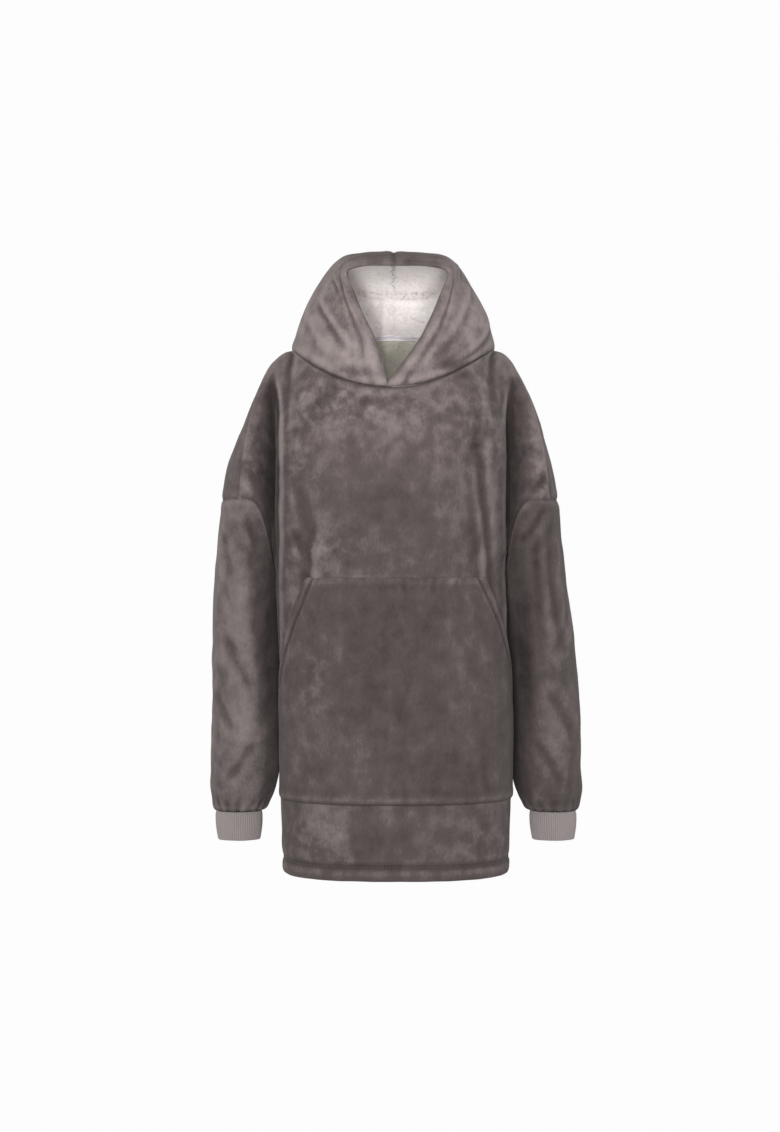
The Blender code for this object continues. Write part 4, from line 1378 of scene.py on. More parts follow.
def under_pocket(angle, height, beyond=0.0):
    """1 where the pocket covers the front, or lies within a few degrees of it, 0 elsewhere."""
    covered = ease((height - POCKET_FOOT) / POCKET_FADE) * ease((POCKET_TOP - height) / POCKET_FADE)
    left, right = POCKET_OPENINGS[+1], POCKET_OPENINGS[-1]
    tops = np.where(angle > 0, left.top_angle, right.top_angle)
    feet = np.where(angle > 0, left.foot, right.foot)
    up = np.clip((height - feet) / (POCKET_TOP - feet), 0.0, 1.0)
    widest = body_angle(POCKET_END_COLUMN)
    reach = widest + (tops - widest) * up
    return covered * ease((reach + beyond - np.abs(angle)) / POCKET_FADE_ANGLE)


def crest_share(across, heights, front):
    """Where the long upright fold beside each arm is: 1 on its crest, and its recess on the arm's side."""
    top, foot = CREST_TOP[front], CREST_FOOT[front]
    along = ease((top - heights) / CREST_FADE_TOP) * ease((heights - foot) / CREST_FADE_FOOT)
    beyond = np.abs(across) - np.where(across > 0, CREST_PLACE[+1], CREST_PLACE[-1])
    beyond -= CREST_FLARE * ease((heights - CREST_FLARE_START) / CREST_FLARE_LENGTH)
    recess = ease((beyond - 0.5 * CREST_WIDTH) / CREST_WIDTH) * bell(beyond, RECESS_REACH)
    return along * bell(beyond, CREST_WIDTH), along * recess


def sew_panel(name, points, normals, front):
    """The front or back, from its coarse sheet."""
    columns = range(-HALF_COLUMNS, HALF_COLUMNS + 1)
    angles = np.array([math.copysign(body_angle(abs(column)), column) for column in columns])
    angles = np.broadcast_to(angles, points.shape[:2])
    points, normals, angles = fine_sheet(BODY_SPACING, points, normals, angles)
    x, z = points[..., 0], points[..., 2]
    edges = edge_distances(points)
    from_hem = edges["first_row"]
    seams = np.minimum(np.minimum(edges["first_column"], edges["last_column"]), edges["last_row"])
    calm = ease(seams / SEAM_CALM) * ease((from_hem - HEM_DEPTH) / HEM_CALM)
    folds = crease_relief(x, z, FRONT_CREASES if front else BACK_CREASES)
    folds += crushed(points, 3 if front else 11)
    seam_depth = np.where(z > UNDERARM_HEIGHT, ARMHOLE_DIP, SEAM_DEPTH)
    relief = folds * calm + seam_relief(seams, seam_depth)
    uneven = 0.70 + 0.45 * lumps(points, size=0.030, seed=9)
    relief += uneven * groove(from_hem - HEM_DEPTH, HEM_DENT, HEM_DENT_WIDTH)
    relief += SMALL_LUMPS * lumps(points, size=HEM_LUMP_SIZE, seed=5) * ease((HEM_DEPTH - from_hem) / 0.006)
    crest, recess = crest_share(x, z, front)
    relief += CREST_RISE * crest - RECESS_DEPTH * recess * ease((z - RECESS_FOOT) / RECESS_FADE)
    if front:
        chest = calm * ease((z - CHEST_LUMPS_FOOT) / CHEST_LUMPS_FADE)
        relief += SMALL_LUMPS * lumps(points, size=CHEST_LUMP_SIZE, seed=7) * chest
        covered = under_pocket(angles, z)
        relief = relief * (1.0 - covered) - UNDER_POCKET * covered
    hem = ease((HEM_DEPTH - 0.001 - from_hem) / HEM_STEP)
    depth = FLEECE + (HEM_THICKNESS - FLEECE) * hem - INNER_SHARE * folds * calm
    outer, inner = lifted(points, normals, relief), lifted(points, normals, -depth)
    lined = (from_hem[:-1, :-1] > LINING_START).astype(np.int32)
    # Painted shade in hollows, painted highlight on folds, and patches of brushed pile and painted shade
    shade = painted_shading_and_nap(outer, normals, FRONT_PATCHES if front else BACK_PATCHES)
    ruffle = summed_patches(x, z, FRONT_RUFFLES if front else BACK_RUFFLES) + BODY_RUFFLE
    # Painted highlight on the fold's crest and painted shade in the recess beside it
    shade += CREST_PAINTED_HIGHLIGHT * crest + RECESS_PAINTED_SHADE[front] * recess
    # Beside the arm: a painted highlight along the front's shoulder seam, painted shade on the back's yoke
    beside_arm = ease((np.abs(x) - BESIDE_ARM) / BESIDE_ARM_FADE)
    beside_arm *= ease((z - UNDERARM_HEIGHT) / BESIDE_ARM_FADE)
    if front:
        shade += POCKET_SHADOW_NAP * (under_pocket(angles, z, POCKET_SHADOW) - covered)
        shade += SEAM_LINE_PAINTED_HIGHLIGHT * beside_arm * bell(edges["last_row"], SEAM_LINE_WIDTH)
    else:
        shade += BACK_YOKE_PAINTED_SHADE * beside_arm
    looks = (fleece_look, sherpa_look)
    rounded = {"first_row": 0.9}
    piece = make_cloth(name, outer, inner, looks, rounded, shade=shade, lined=lined, ruffle=ruffle)
    return piece, line_at(outer, normals, from_hem, HEM_DEPTH)


front_sheet, front_facing = panel_sheet(True)
back_sheet, back_facing = panel_sheet(False)
lining_facing = back_facing.copy()
join_top_edges(front_facing, back_facing, {side: hoods[side][1] for side in hoods})
front_piece, front_hem_line = sew_panel("front_panel", front_sheet, front_facing, True)
back_piece, back_hem_line = sew_panel("back_panel", back_sheet, back_facing, False)

# %% [markdown]
# ## Sleeves
# A sleeve is a tube that hangs from the dropped armhole seam. It is gathered a little into the cuff, so
# its foot has small pleats that fade out upwards. Its creases are drawn round the arm: one direction is
# the way round, times the arm's radius, and the other is the height.

# %% Creases of the sleeves
ARM_RADIUS = 0.070
SleeveCrease = namedtuple("SleeveCrease", "side angle_start z_start angle_end z_end bow width depth lip")
SLEEVE_CREASES = [
    SleeveCrease(+1, 70, -0.265, 130, -0.320, 0.004, 0.010, 0.0032, 0.0022),
    SleeveCrease(+1, 62, -0.290, 60, -0.480, -0.006, 0.012, 0.0040, 0.0026),
    SleeveCrease(+1, 30, -0.420, 75, -0.500, 0.004, 0.012, 0.0026, 0.0018),
    SleeveCrease(+1, 95, -0.560, 50, -0.640, 0.006, 0.014, 0.0030, 0.0020),
    SleeveCrease(+1, 120, -0.640, 70, -0.720, 0.005, 0.012, 0.0028, 0.0018),
    SleeveCrease(-1, 95, -0.270, 130, -0.330, 0.003, 0.012, 0.0026, 0.0018),
    SleeveCrease(-1, 40, -0.300, 70, -0.380, -0.004, 0.013, 0.0026, 0.0018),
    SleeveCrease(-1, 60, -0.470, 110, -0.560, 0.006, 0.014, 0.0030, 0.0020),
    SleeveCrease(-1, 30, -0.560, 80, -0.630, 0.005, 0.013, 0.0026, 0.0018),
    SleeveCrease(-1, 110, -0.640, 60, -0.715, -0.004, 0.012, 0.0028, 0.0018),
    SleeveCrease(+1, -60, -0.300, -110, -0.430, 0.006, 0.014, 0.0034, 0.0022),
    SleeveCrease(+1, -100, -0.480, -50, -0.600, -0.006, 0.014, 0.0032, 0.0020),
    SleeveCrease(+1, -40, -0.620, -100, -0.700, 0.004, 0.012, 0.0028, 0.0018),
    SleeveCrease(-1, -70, -0.310, -120, -0.440, 0.006, 0.014, 0.0034, 0.0022),
    SleeveCrease(-1, -110, -0.500, -60, -0.610, 0.006, 0.014, 0.0032, 0.0020),
    SleeveCrease(-1, -50, -0.640, -100, -0.710, -0.004, 0.012, 0.0028, 0.0018),
]
SLEEVE_PATCHES = {
    1: [
        Patch(0.290, -0.420, 0.030, 0.060, 0.10),
        Patch(0.250, -0.560, 0.030, 0.090, 0.06),
        Patch(0.270, -0.640, 0.040, 0.050, 0.10),
        # Painted shade in the recess beside the body
        Patch(0.215, -0.500, 0.016, 0.180, -0.40),
        Patch(0.250, -0.270, 0.030, 0.030, -0.12),
        Patch(0.270, -0.730, 0.040, 0.025, -0.08),
    ],
    -1: [
        Patch(-0.290, -0.330, 0.030, 0.050, 0.10),
        Patch(-0.270, -0.460, 0.030, 0.060, 0.08),
        Patch(-0.250, -0.620, 0.030, 0.060, 0.10),
        # Painted shade in the recess beside the body
        Patch(-0.212, -0.500, 0.016, 0.190, -0.40),
        Patch(-0.245, -0.290, 0.026, 0.050, -0.16),
        Patch(-0.280, -0.700, 0.040, 0.030, -0.06),
    ],
}
print("creases on the sleeves:", len(SLEEVE_CREASES))

# %% Sew the sleeves
SLEEVE_SPACING = 0.0046
SLEEVE_NAP = {1: -0.10, -1: 0.10}
SLEEVE_RUFFLE = 0.22
SLEEVE_HOLLOW = 0.18
# A painted highlight on the ridge beside the armhole seam
SEAM_RIDGE_PAINTED_HIGHLIGHT = 0.14
SEAM_RIDGE_PLACE = 0.006
SEAM_RIDGE_WIDTH = 0.004
CUFF_CALM = 0.010
PLEATS = 15
PLEAT_DEPTH = 0.0013
PLEAT_REACH = 0.045


def sleeve_crease_relief(angles, heights, side):
    """Height of a sleeve's cloth over its creases."""
    relief = np.zeros_like(angles)
    for crease in SLEEVE_CREASES:
        if crease.side == side:
            around_arm = np.radians(half_turn(angles - crease.angle_start)) * ARM_RADIUS
            sweep = math.radians(crease.angle_end - crease.angle_start) * ARM_RADIUS
            line = Crease(0.0, crease.z_start, sweep, crease.z_end, *crease[5:])
            relief += crease_relief(around_arm, heights, [line])
    return relief


UNDERARM_FROM = 110.0
UNDERARM_FADE = 25.0
def sew_sleeve(side, name):
    """A sleeve tube with its gathers."""
    shares = [(row / SLEEVE_ROWS) ** 0.9 for row in range(SLEEVE_ROWS + 1)]
    angles = sleeve_angles(side)
    points = np.array([[sleeve_point(angle, share, side) for angle in angles] for share in shares])
    gaps = [SEAM_GAP + UNDERARM_GAP * ease((abs(angle) - UNDERARM_FROM) / UNDERARM_FADE) for angle in angles]
    draw_back(points, "first_row", np.array(gaps)[:, None])
    normals = sheet_normals(points, around=True, flip=side < 0)
    for column, angle in enumerate(angles):
        normals[0, column] = armhole_direction(angle, side, normals[0, column])
    turns = np.radians(np.broadcast_to(np.array(angles), points.shape[:2]))
    points, normals, cosines, sines = fine_sheet(
        SLEEVE_SPACING, points, normals, np.cos(turns), np.sin(turns), around=True
    )
    angles = np.degrees(np.arctan2(sines, cosines))
    edges = edge_distances(points)
    calm = ease(edges["first_row"] / SEAM_CALM) * ease(edges["last_row"] / CUFF_CALM)
    folds = sleeve_crease_relief(angles, points[..., 2], side) + crushed(points, 20 + side)
    pleats = PLEAT_DEPTH * np.sin(PLEATS * np.radians(angles) + 2.5 * lumps(points, size=0.05, seed=31))
    pleats *= ease(1.0 - edges["last_row"] / PLEAT_REACH)
    relief = folds * calm + pleats + seam_relief(edges["first_row"], ARMHOLE_DIP)
    relief += seam_relief(edges["last_row"], depth=0.0030, width=0.0030)
    outer = lifted(points, normals, relief)
    inner = lifted(points, normals, INNER_SHARE * folds * calm - FLEECE)
    lined = np.ones((points.shape[0] - 1, points.shape[1]), dtype=np.int32)
    # Painted shade in the sleeve's hollows, painted highlight on its folds and on the ridge by the armhole
    # seam
    shade = painted_shading_and_nap(outer, normals, SLEEVE_PATCHES[side], True, SLEEVE_HOLLOW) + SLEEVE_NAP[side]
    shade += SEAM_RIDGE_PAINTED_HIGHLIGHT * bell(edges["first_row"] - SEAM_RIDGE_PLACE, SEAM_RIDGE_WIDTH)
    looks = (fleece_look, sherpa_look)
    return make_cloth(name, outer, inner, looks, around=True, shade=shade, lined=lined, ruffle=SLEEVE_RUFFLE)


sleeves = {side: sew_sleeve(side, label + "_sleeve") for side, label in SIDES.items()}

# %% [markdown]
# ## Cuffs
# Rib knit is a row of raised wales with narrow furrows between them. A cylinder with a striped bump would
# look flat at its edge, so each rib is modelled: a rounded wave round the cuff, a little wider in the
# middle where the knit relaxes. The knit is folded double at the foot, so that edge is round.

# %% Knit the cuffs
KNIT_RIBS = 64
POINTS_PER_RIB = 8
KNIT_ROWS = 18
KNIT_RIB_HEIGHT = 0.0011
KNIT_SWELL = 0.0016
KNIT_SWAY = 0.0006
# Painted shade in the furrows between the ribs and painted highlight on their tops
KNIT_FURROW_PAINTED_SHADE = 0.40


RIB_ROUNDNESS = 0.7
RIB_LEVEL = 0.3
UNSHADED_RIB_LEVEL = 0.75
def knit_cuff(side, name):
    """A rib-knit cuff round the wrist."""
    section = SleeveSection(*read_table(SLEEVE_SECTIONS, SLEEVE_FOOT))
    turns = 2.0 * math.pi * np.arange(KNIT_RIBS * POINTS_PER_RIB) / (KNIT_RIBS * POINTS_PER_RIB)
    rib = np.abs(np.cos(turns * KNIT_RIBS / 2)) ** RIB_ROUNDNESS
    sway = KNIT_SWAY * np.sin(5 * turns + side)
    faces = ([], [])
    for row in range(KNIT_ROWS + 1):
        share = row / KNIT_ROWS
        narrow = 1.0 + (CUFF_NARROWING - 1.0) * share
        swell = KNIT_SWELL * math.sin(math.pi * share) + sway * share
        tuck = groove(share * CUFF_LENGTH, depth=0.0012, width=0.0030)
        height = SLEEVE_FOOT - SEAM_GAP - CUFF_LENGTH * share
        for face, grow in zip(faces, (swell + tuck + KNIT_RIB_HEIGHT * (rib - RIB_LEVEL), swell - RIB_KNIT)):
            width = (section.half_width - CUFF_INSET) * narrow + grow
            depth = (section.half_depth - CUFF_INSET) * narrow + grow
            face.append(np.stack([
                side * (section.centre + width * np.cos(turns)),
                section.depth_centre - depth * np.sin(turns),
                np.full_like(turns, height),
            ], axis=1))
    outer, inner = np.array(faces[0]), np.array(faces[1])
    # Painted shade in the furrows, painted highlight on the rib tops
    shade = np.broadcast_to(KNIT_FURROW_PAINTED_SHADE * (rib - UNSHADED_RIB_LEVEL), outer.shape[:2])
    return make_cloth(name, outer, inner, (rib_look,), {"last_row": 1.0}, around=True, shade=shade)


cuffs = {side: knit_cuff(side, label + "_cuff") for side, label in SIDES.items()}

# %% [markdown]
# ## Pocket
# The kangaroo pocket is one piece, sewn on along its top, its foot and the lower part of its sides. A hand
# goes in at each slanted side, where the edge is turned in and stitched. It follows the front's own form,
# moved out by its thickness, so that it never floats or sinks.

# %% Sew the pocket
POCKET_SPACING = 0.0042
OPENING_HEM = 0.0145
OPENING_PUFF = 0.0010
OPENING_FADE = 0.015
POCKET_CALM = 0.012
TOP_EDGE_PAINTED_HIGHLIGHT = 0.22
# Painted highlights along the pocket's top edge and along its turned openings
TOP_LINE_WIDTH = 0.0028
OPENING_EDGE_PAINTED_HIGHLIGHT = 0.6 * TOP_EDGE_PAINTED_HIGHLIGHT
OPENING_LINE_WIDTH = 0.0040
POCKET_NAP = -0.12
POCKET_CREASES = [
    Crease(0.012, -0.374, 0.014, -0.402, 0.001, 0.0045, 0.0007, 0.0005),
    Crease(0.062, -0.374, 0.059, -0.404, 0.001, 0.0050, 0.0008, 0.0006),
    Crease(0.098, -0.374, 0.095, -0.396, 0.001, 0.0045, 0.0006, 0.0005),
    Crease(-0.052, -0.374, -0.050, -0.394, 0.001, 0.0045, 0.0005, 0.0004),
    Crease(0.100, -0.430, 0.135, -0.540, 0.006, 0.014, 0.0014, 0.0012),
    Crease(-0.120, -0.440, -0.155, -0.560, -0.006, 0.014, 0.0014, 0.0012),
    Crease(-0.080, -0.640, -0.150, -0.700, 0.006, 0.018, 0.0012, 0.0010),
    Crease(0.070, -0.560, 0.110, -0.700, 0.008, 0.018, 0.0012, 0.0010),
    Crease(0.140, -0.660, 0.150, -0.725, 0.002, 0.008, 0.0012, 0.0010),
]


def sew_pocket():
    """The pocket, with its turned and stitched openings."""
    points, normals = fine_sheet(POCKET_SPACING, *pocket_sheet())
    x, z = points[..., 0], points[..., 2]
    edges = edge_distances(points)
    sides = np.minimum(edges["first_column"], edges["last_column"])
    feet = np.where(x > 0, POCKET_OPENINGS[+1].foot, POCKET_OPENINGS[-1].foot)
    open_share = ease((z - feet) / OPENING_FADE)
    seams = np.minimum(edges["first_row"], edges["last_row"])
    calm = ease(np.minimum(seams, sides) / POCKET_CALM)
    folds = crease_relief(x, z, POCKET_CREASES) * ease(edges["first_row"] / 0.01) * ease(sides / POCKET_CALM)
    folds += 0.8 * crushed(points, 41) * calm
    relief = folds + seam_relief(edges["first_row"], depth=0.0030, width=0.0030)
    relief += 0.5 * seam_relief(edges["last_row"], depth=0.0030, width=0.0024)
    relief += (1.0 - open_share) * seam_relief(sides, depth=0.0030, width=0.0030)
    relief += open_share * groove(sides - OPENING_HEM, depth=0.0026, width=0.0026)
    relief += open_share * OPENING_PUFF * ease(sides / 0.004) * ease((OPENING_HEM - sides) / 0.005)
    outer = lifted(points, normals, relief)
    inner = lifted(points, normals, 0.3 * np.minimum(folds, 0.0) - FLEECE)
    rounded = {"first_row": 0.5, "last_row": 0.8, "first_column": 0.9, "last_column": 0.9}
    # Painted shade in hollows, painted highlights on folds, the top edge and the turned openings
    shade = painted_shading_and_nap(outer, normals, FRONT_PATCHES) + POCKET_NAP
    shade += TOP_EDGE_PAINTED_HIGHLIGHT * bell(edges["last_row"], TOP_LINE_WIDTH)
    shade += OPENING_EDGE_PAINTED_HIGHLIGHT * open_share * bell(sides, OPENING_LINE_WIDTH)
    ruffle = summed_patches(x, z, FRONT_RUFFLES) + BODY_RUFFLE
    piece = make_cloth("kangaroo_pocket", outer, inner, (fleece_look,), rounded, shade=shade, ruffle=ruffle)

    # The stitches of each opening stop where the pocket's side is sewn down
    opening_lines = []
    for edge, order in (("first_column", slice(None)), ("last_column", slice(None, None, -1))):
        sheet = (turned(array)[order] for array in (outer, normals, edges[edge]))
        run, directions = line_at(*sheet, OPENING_HEM)
        is_open = turned(open_share)[order][0] > 0.6
        opening_lines.append((run[is_open], directions[is_open]))
    return piece, opening_lines


pocket_piece, opening_lines = sew_pocket()

# %% [markdown]
# ## Hood
# Two mirrored halves meet in a seam over the crown. At the face the fleece is turned in round the edge of
# the lining and stitched down 25 mm from it, which makes a padded band. The band is a swell between two
# distances from the rim, and the stitch line is a groove. Creases are placed by how far they are from
# the rim and from the neck. Towards the crown the stitch line fades, as the band turns in there.

# %% Creases of the hood
HOOD_REACH = 0.36
HOOD_CREASES = {
    1: [
        Crease(0.150, 0.190, 0.040, 0.060, 0.010, 0.015, 0.0024, 0.0022),
        Crease(0.125, 0.250, 0.085, 0.215, 0.004, 0.009, 0.0018, 0.0012),
        Crease(0.170, 0.080, 0.080, 0.018, -0.006, 0.012, 0.0024, 0.0022),
        Crease(0.260, 0.200, 0.200, 0.060, 0.010, 0.018, 0.0030, 0.0020),
        Crease(0.310, 0.240, 0.285, 0.080, 0.006, 0.015, 0.0024, 0.0016),
    ],
    -1: [
        Crease(0.118, 0.150, 0.050, 0.080, 0.006, 0.010, 0.0030, 0.0026),
        Crease(0.085, 0.225, 0.055, 0.200, 0.003, 0.008, 0.0020, 0.0012),
        Crease(0.160, 0.100, 0.075, 0.020, 0.010, 0.016, 0.0022, 0.0024),
        Crease(0.250, 0.220, 0.210, 0.080, -0.008, 0.018, 0.0028, 0.0020),
        Crease(0.315, 0.200, 0.290, 0.060, 0.006, 0.015, 0.0024, 0.0016),
    ],
}
HOOD_PATCHES = [
    Patch(-0.140, 0.040, 0.030, 0.050, 0.16),
    Patch(-0.090, 0.045, 0.020, 0.025, -0.12),
    Patch(-0.070, -0.010, 0.040, 0.018, 0.10),
    Patch(0.135, 0.060, 0.025, 0.040, 0.12),
    Patch(0.080, 0.000, 0.030, 0.020, -0.12),
    # Painted shade over the top of the hood
    Patch(0.000, 0.150, 0.090, 0.022, -0.42),
    Patch(-0.094, 0.075, 0.014, 0.030, -0.16),
    Patch(-0.115, -0.005, 0.050, 0.020, 0.12),
    Patch(0.110, -0.020, 0.050, 0.016, -0.10),
    # These two are painted shade along the neck seam
    Patch(0.088, -0.038, 0.026, 0.009, -0.42),
    Patch(-0.080, -0.046, 0.020, 0.009, -0.28),
]
print("creases on the hood:", sum(len(table) for table in HOOD_CREASES.values()))

# %% Sew the hood halves
HOOD_SPACING = 0.0044
HOOD_NAP = 0.18
HOOD_RUFFLE = 0.36
RIM_BAND = 0.025
RIM_PUFF = 0.0012
RIM_DEPTH = 0.0072
RIM_TURN = 0.0055
RIM_CALM = 0.010
NECK_CALM = 0.012
BAND_FADE_START = 0.235
BAND_FADE = 0.060


def hood_places(points):
    """For each point of a hood sheet, how far it is from the rim and from the neck, as lengths."""
    across, up = (HOOD_REACH * np.linspace(0.0, 1.0, count) for count in points.shape[1::-1])
    return np.meshgrid(across, up)


def sew_hood_half(side, name):
    """One half of the hood's fleece shell."""
    points, normals = hoods[side]
    points, normals, from_rim, from_neck = fine_sheet(HOOD_SPACING, points, normals, *hood_places(points))
    edges = edge_distances(points)
    centre_seam = np.minimum(edges["last_row"], edges["last_column"])
    rim = edges["first_column"]
    calm = ease(edges["first_row"] / NECK_CALM) * ease(centre_seam / SEAM_CALM) * ease(rim / RIM_CALM)
    folds = crease_relief(from_rim, from_neck, HOOD_CREASES[side]) * ease((rim - 0.5 * RIM_BAND) / 0.02)
    folds = (folds + 0.9 * crushed(points, 51 + side)) * calm
    relief = folds + seam_relief(edges["first_row"], depth=0.0028, width=0.0036) + seam_relief(centre_seam)
    top = ease((from_neck - BAND_FADE_START) / BAND_FADE)
    relief += RIM_PUFF * ease(rim / 0.006) * ease((RIM_BAND - rim) / 0.008)
    stitched = ease(edges["first_row"] / 0.006) * (1.0 - top)
    relief += stitched * groove(rim - RIM_BAND, depth=0.0022, width=0.0030)
    depth = FLEECE + (RIM_DEPTH - FLEECE) * ease(1.0 - rim / RIM_TURN) - 0.5 * folds
    outer, inner = lifted(points, normals, relief), lifted(points, normals, -depth)
    # Painted shade in hollows, painted highlight on folds, and patches of brushed pile and painted shade
    shade = painted_shading_and_nap(outer, normals, HOOD_PATCHES) + HOOD_NAP
    rounded = {"first_column": 1.0}
    piece = make_cloth(name, outer, inner, (fleece_look,), rounded, shade=shade, ruffle=HOOD_RUFFLE)
    rim_line = line_at(turned(outer), turned(normals), turned(rim), RIM_BAND)
    return piece, rim_line


hood_parts = {side: sew_hood_half(side, "hood_half_" + label) for side, label in SIDES.items()}

# %% [markdown]
# ## Sherpa lining
# The lining lies inside the shell and shows in the hood's opening, so its inner face carries the nubs.
# Each nub is a lump in the mesh, a few millimetres across, from two sizes of noise with their crests
# rounded and their furrows sharp. At the crown and the back the seam is pinched into the pile.

# %% Lay the hood lining
LINING_SPACING = 0.0029
NUB_SIZE = 0.0062
NUB_HEIGHT = 0.0016
LINING_SET_BACK = 0.0060
LINING_NECK_GAP = 0.0012
LINING_CREASE_START = 0.03
LINING_CREASE_FADE = 0.04
THINNEST = 0.0008
NUB_SHADE = 0.28
MIDDLE_NUB = 0.45
CREASE_SHADE = 130.0
DARKEST_CREASE = -0.19
LIGHTEST_CREASE = 0.16
LINING_CREASES = [
    Crease(-0.070, 0.114, -0.012, 0.112, 0.002, 0.0068, 0.0044, 0.0030),
    Crease(-0.018, 0.115, 0.072, 0.110, 0.002, 0.0068, 0.0046, 0.0030),
    Crease(-0.0265, 0.106, -0.0270, 0.034, 0.001, -0.0046, 0.0062, 0.0030),
    Crease(0.026, 0.072, 0.054, 0.060, 0.003, 0.0030, 0.0018, 0.0014),
    Crease(0.030, 0.088, 0.062, 0.078, -0.003, 0.0040, 0.0012, 0.0010),
    Crease(-0.060, 0.090, -0.040, 0.066, 0.003, 0.0040, 0.0014, 0.0010),
]


def nubs(points, seed):
    """Heights of sherpa nubs between 0 and 1: round crests with sharp furrows."""
    first = np.abs(lumps(points, NUB_SIZE, seed))
    second = np.abs(lumps(points, 0.6 * NUB_SIZE, seed + 1))
    return 1.0 - np.clip(1.9 * first + 0.8 * second, 0.0, 1.0) ** 0.8


def lay_lining(name, outer, facing, relief, seed, rounded, material):
    """A sherpa sheet whose inner face carries the nubs, and the middle of that face."""
    pile = nubs(outer, seed)
    depth = np.maximum(SHERPA + NUB_HEIGHT * pile + relief, THINNEST)
    inner = lifted(outer, facing, -depth)
    # Painted shade in creases and between nubs, painted highlight on crease lips and nub tops
    shade = np.clip(CREASE_SHADE * relief, DARKEST_CREASE, LIGHTEST_CREASE)
    shade += NUB_SHADE * (pile - MIDDLE_NUB)
    return make_cloth(name, inner, outer, (material,), rounded, shade=shade), inner


LINING_SWELL = 0.0012
LINING_SWELL_SIZE = 0.045
def lay_hood_lining(side, name):
    """The lining of one hood half."""
    points, normals = hoods[side]
    points = points - (FLEECE + LAY_GAP) * normals
    draw_back(points, "first_row", LINING_NECK_GAP)
    draw_back(points, "first_column", LINING_SET_BACK)
    points, normals = fine_sheet(LINING_SPACING, points, normals)
    edges = edge_distances(points)
    crown = groove(edges["last_row"], depth=0.0012, width=0.0035)
    crown += 0.4 * groove(edges["last_column"], depth=0.0012, width=0.0030)
    deep = ease((points[..., 1] - LINING_CREASE_START) / LINING_CREASE_FADE)
    relief = crease_relief(points[..., 0], points[..., 2], LINING_CREASES) * deep + crown
    relief += LINING_SWELL * lumps(points, size=LINING_SWELL_SIZE, seed=71 + side)
    piece, inner = lay_lining(name, points, normals, relief, 81 + side, {"first_row": 0.8}, sherpa_look)
    return piece, inner[-1], normals[-1]


lining_parts = {side: lay_hood_lining(side, "hood_sherpa_" + label) for side, label in SIDES.items()}
linings = {side: part[0] for side, part in lining_parts.items()}

# %% [markdown]
# ## Back lining and neck tape
# Through the neck the inside of the back shows as a patch of sherpa, painted darker and olive for the
# shade inside the back. A narrow woven tape covers the seam where it meets the hood's lining.

# %% Lay the back lining
LINING_ROWS = 5
PATCH_COLUMNS = slice(HALF_COLUMNS - NECK_COLUMNS, HALF_COLUMNS + NECK_COLUMNS + 1)
PATCH_ROWS = slice(len(BODY_ROW_HEIGHTS) + BACK_YOKE_ROWS - LINING_ROWS, None)


BACK_LINING_SWELL = 0.0008
def lay_back_lining():
    """The patch of sherpa that shows through the neck."""
    points = (back_sheet - lining_facing * (FLEECE + LINING_GAP))[PATCH_ROWS, PATCH_COLUMNS]
    facing = lining_facing[PATCH_ROWS, PATCH_COLUMNS]
    draw_back(points, "last_row", LINING_TURN)
    points, facing = fine_sheet(LINING_SPACING, points, facing)
    relief = BACK_LINING_SWELL * lumps(points, size=LINING_SWELL_SIZE, seed=91)
    # Its material is the sherpa painted darker for the shade inside the back
    return lay_lining("back_sherpa", points, facing, relief, 93, {"last_row": 0.8}, painted_shade_sherpa_look)[0]


back_lining_piece = lay_back_lining()

# %% Lay the neck tape
TAPE_WIDTH = 0.0052
TAPE_DROP = 0.0044
TAPE_DEPTH = 0.0088
TAPE_THICKNESS = 0.0009
TAPE_SPACING = 0.0016


TAPE_RIPPLE = 0.0003
TAPE_RIPPLE_SIZE = 0.006
def lay_neck_tape():
    """A narrow tape over the seam between the hood's lining and the back's."""
    seam = back_sheet[-1, PATCH_COLUMNS]
    below = back_sheet[-2, PATCH_COLUMNS]
    left, right = (hoods[side][0][1, NECK_COLUMNS:] for side in (+1, -1))
    above = np.concatenate([right[:-1], left[::-1]])
    facing = back_facing[-1, PATCH_COLUMNS]
    down, up = (unit(side - seam) * TAPE_WIDTH / 2 for side in (below, above))
    middle = seam - TAPE_DEPTH * facing + TAPE_DROP * unit(below - seam)
    rows = np.array([middle + down, middle, middle + up])
    points, normals = fine_sheet(TAPE_SPACING, rows, np.array([facing] * len(rows)))
    ripple = TAPE_RIPPLE * lumps(points, size=TAPE_RIPPLE_SIZE, seed=97)
    inner = lifted(points, normals, -TAPE_THICKNESS - ripple)
    return make_cloth("neck_tape", inner, points, (tape_look,), {"first_row": 1.0, "last_row": 1.0})


neck_tape = lay_neck_tape()

# %% [markdown]
# ## Stitches
# Each row of stitches is one mesh of many small capsules, set out along a line at one distance from an
# edge. A dashed bump would vanish at a glancing view, and thread lying in its groove is what tells the
# eye that a dent is a seam.

# %% Set out the stitches
STITCH_LENGTH = 0.0036
STITCH_GAP = 0.0014
THREAD_RADIUS = 0.00042
STITCH_SIDES = 6
AIM_LENGTH = 0.001
STITCH_PROFILE = [(0.00, 0.30), (0.12, 0.80), (0.50, 1.00), (0.88, 0.80), (1.00, 0.30)]


def read_line(values, places, place):
    """A point or direction read at a place along a line."""
    return np.array([np.interp(place, places, values[:, axis]) for axis in range(3)])


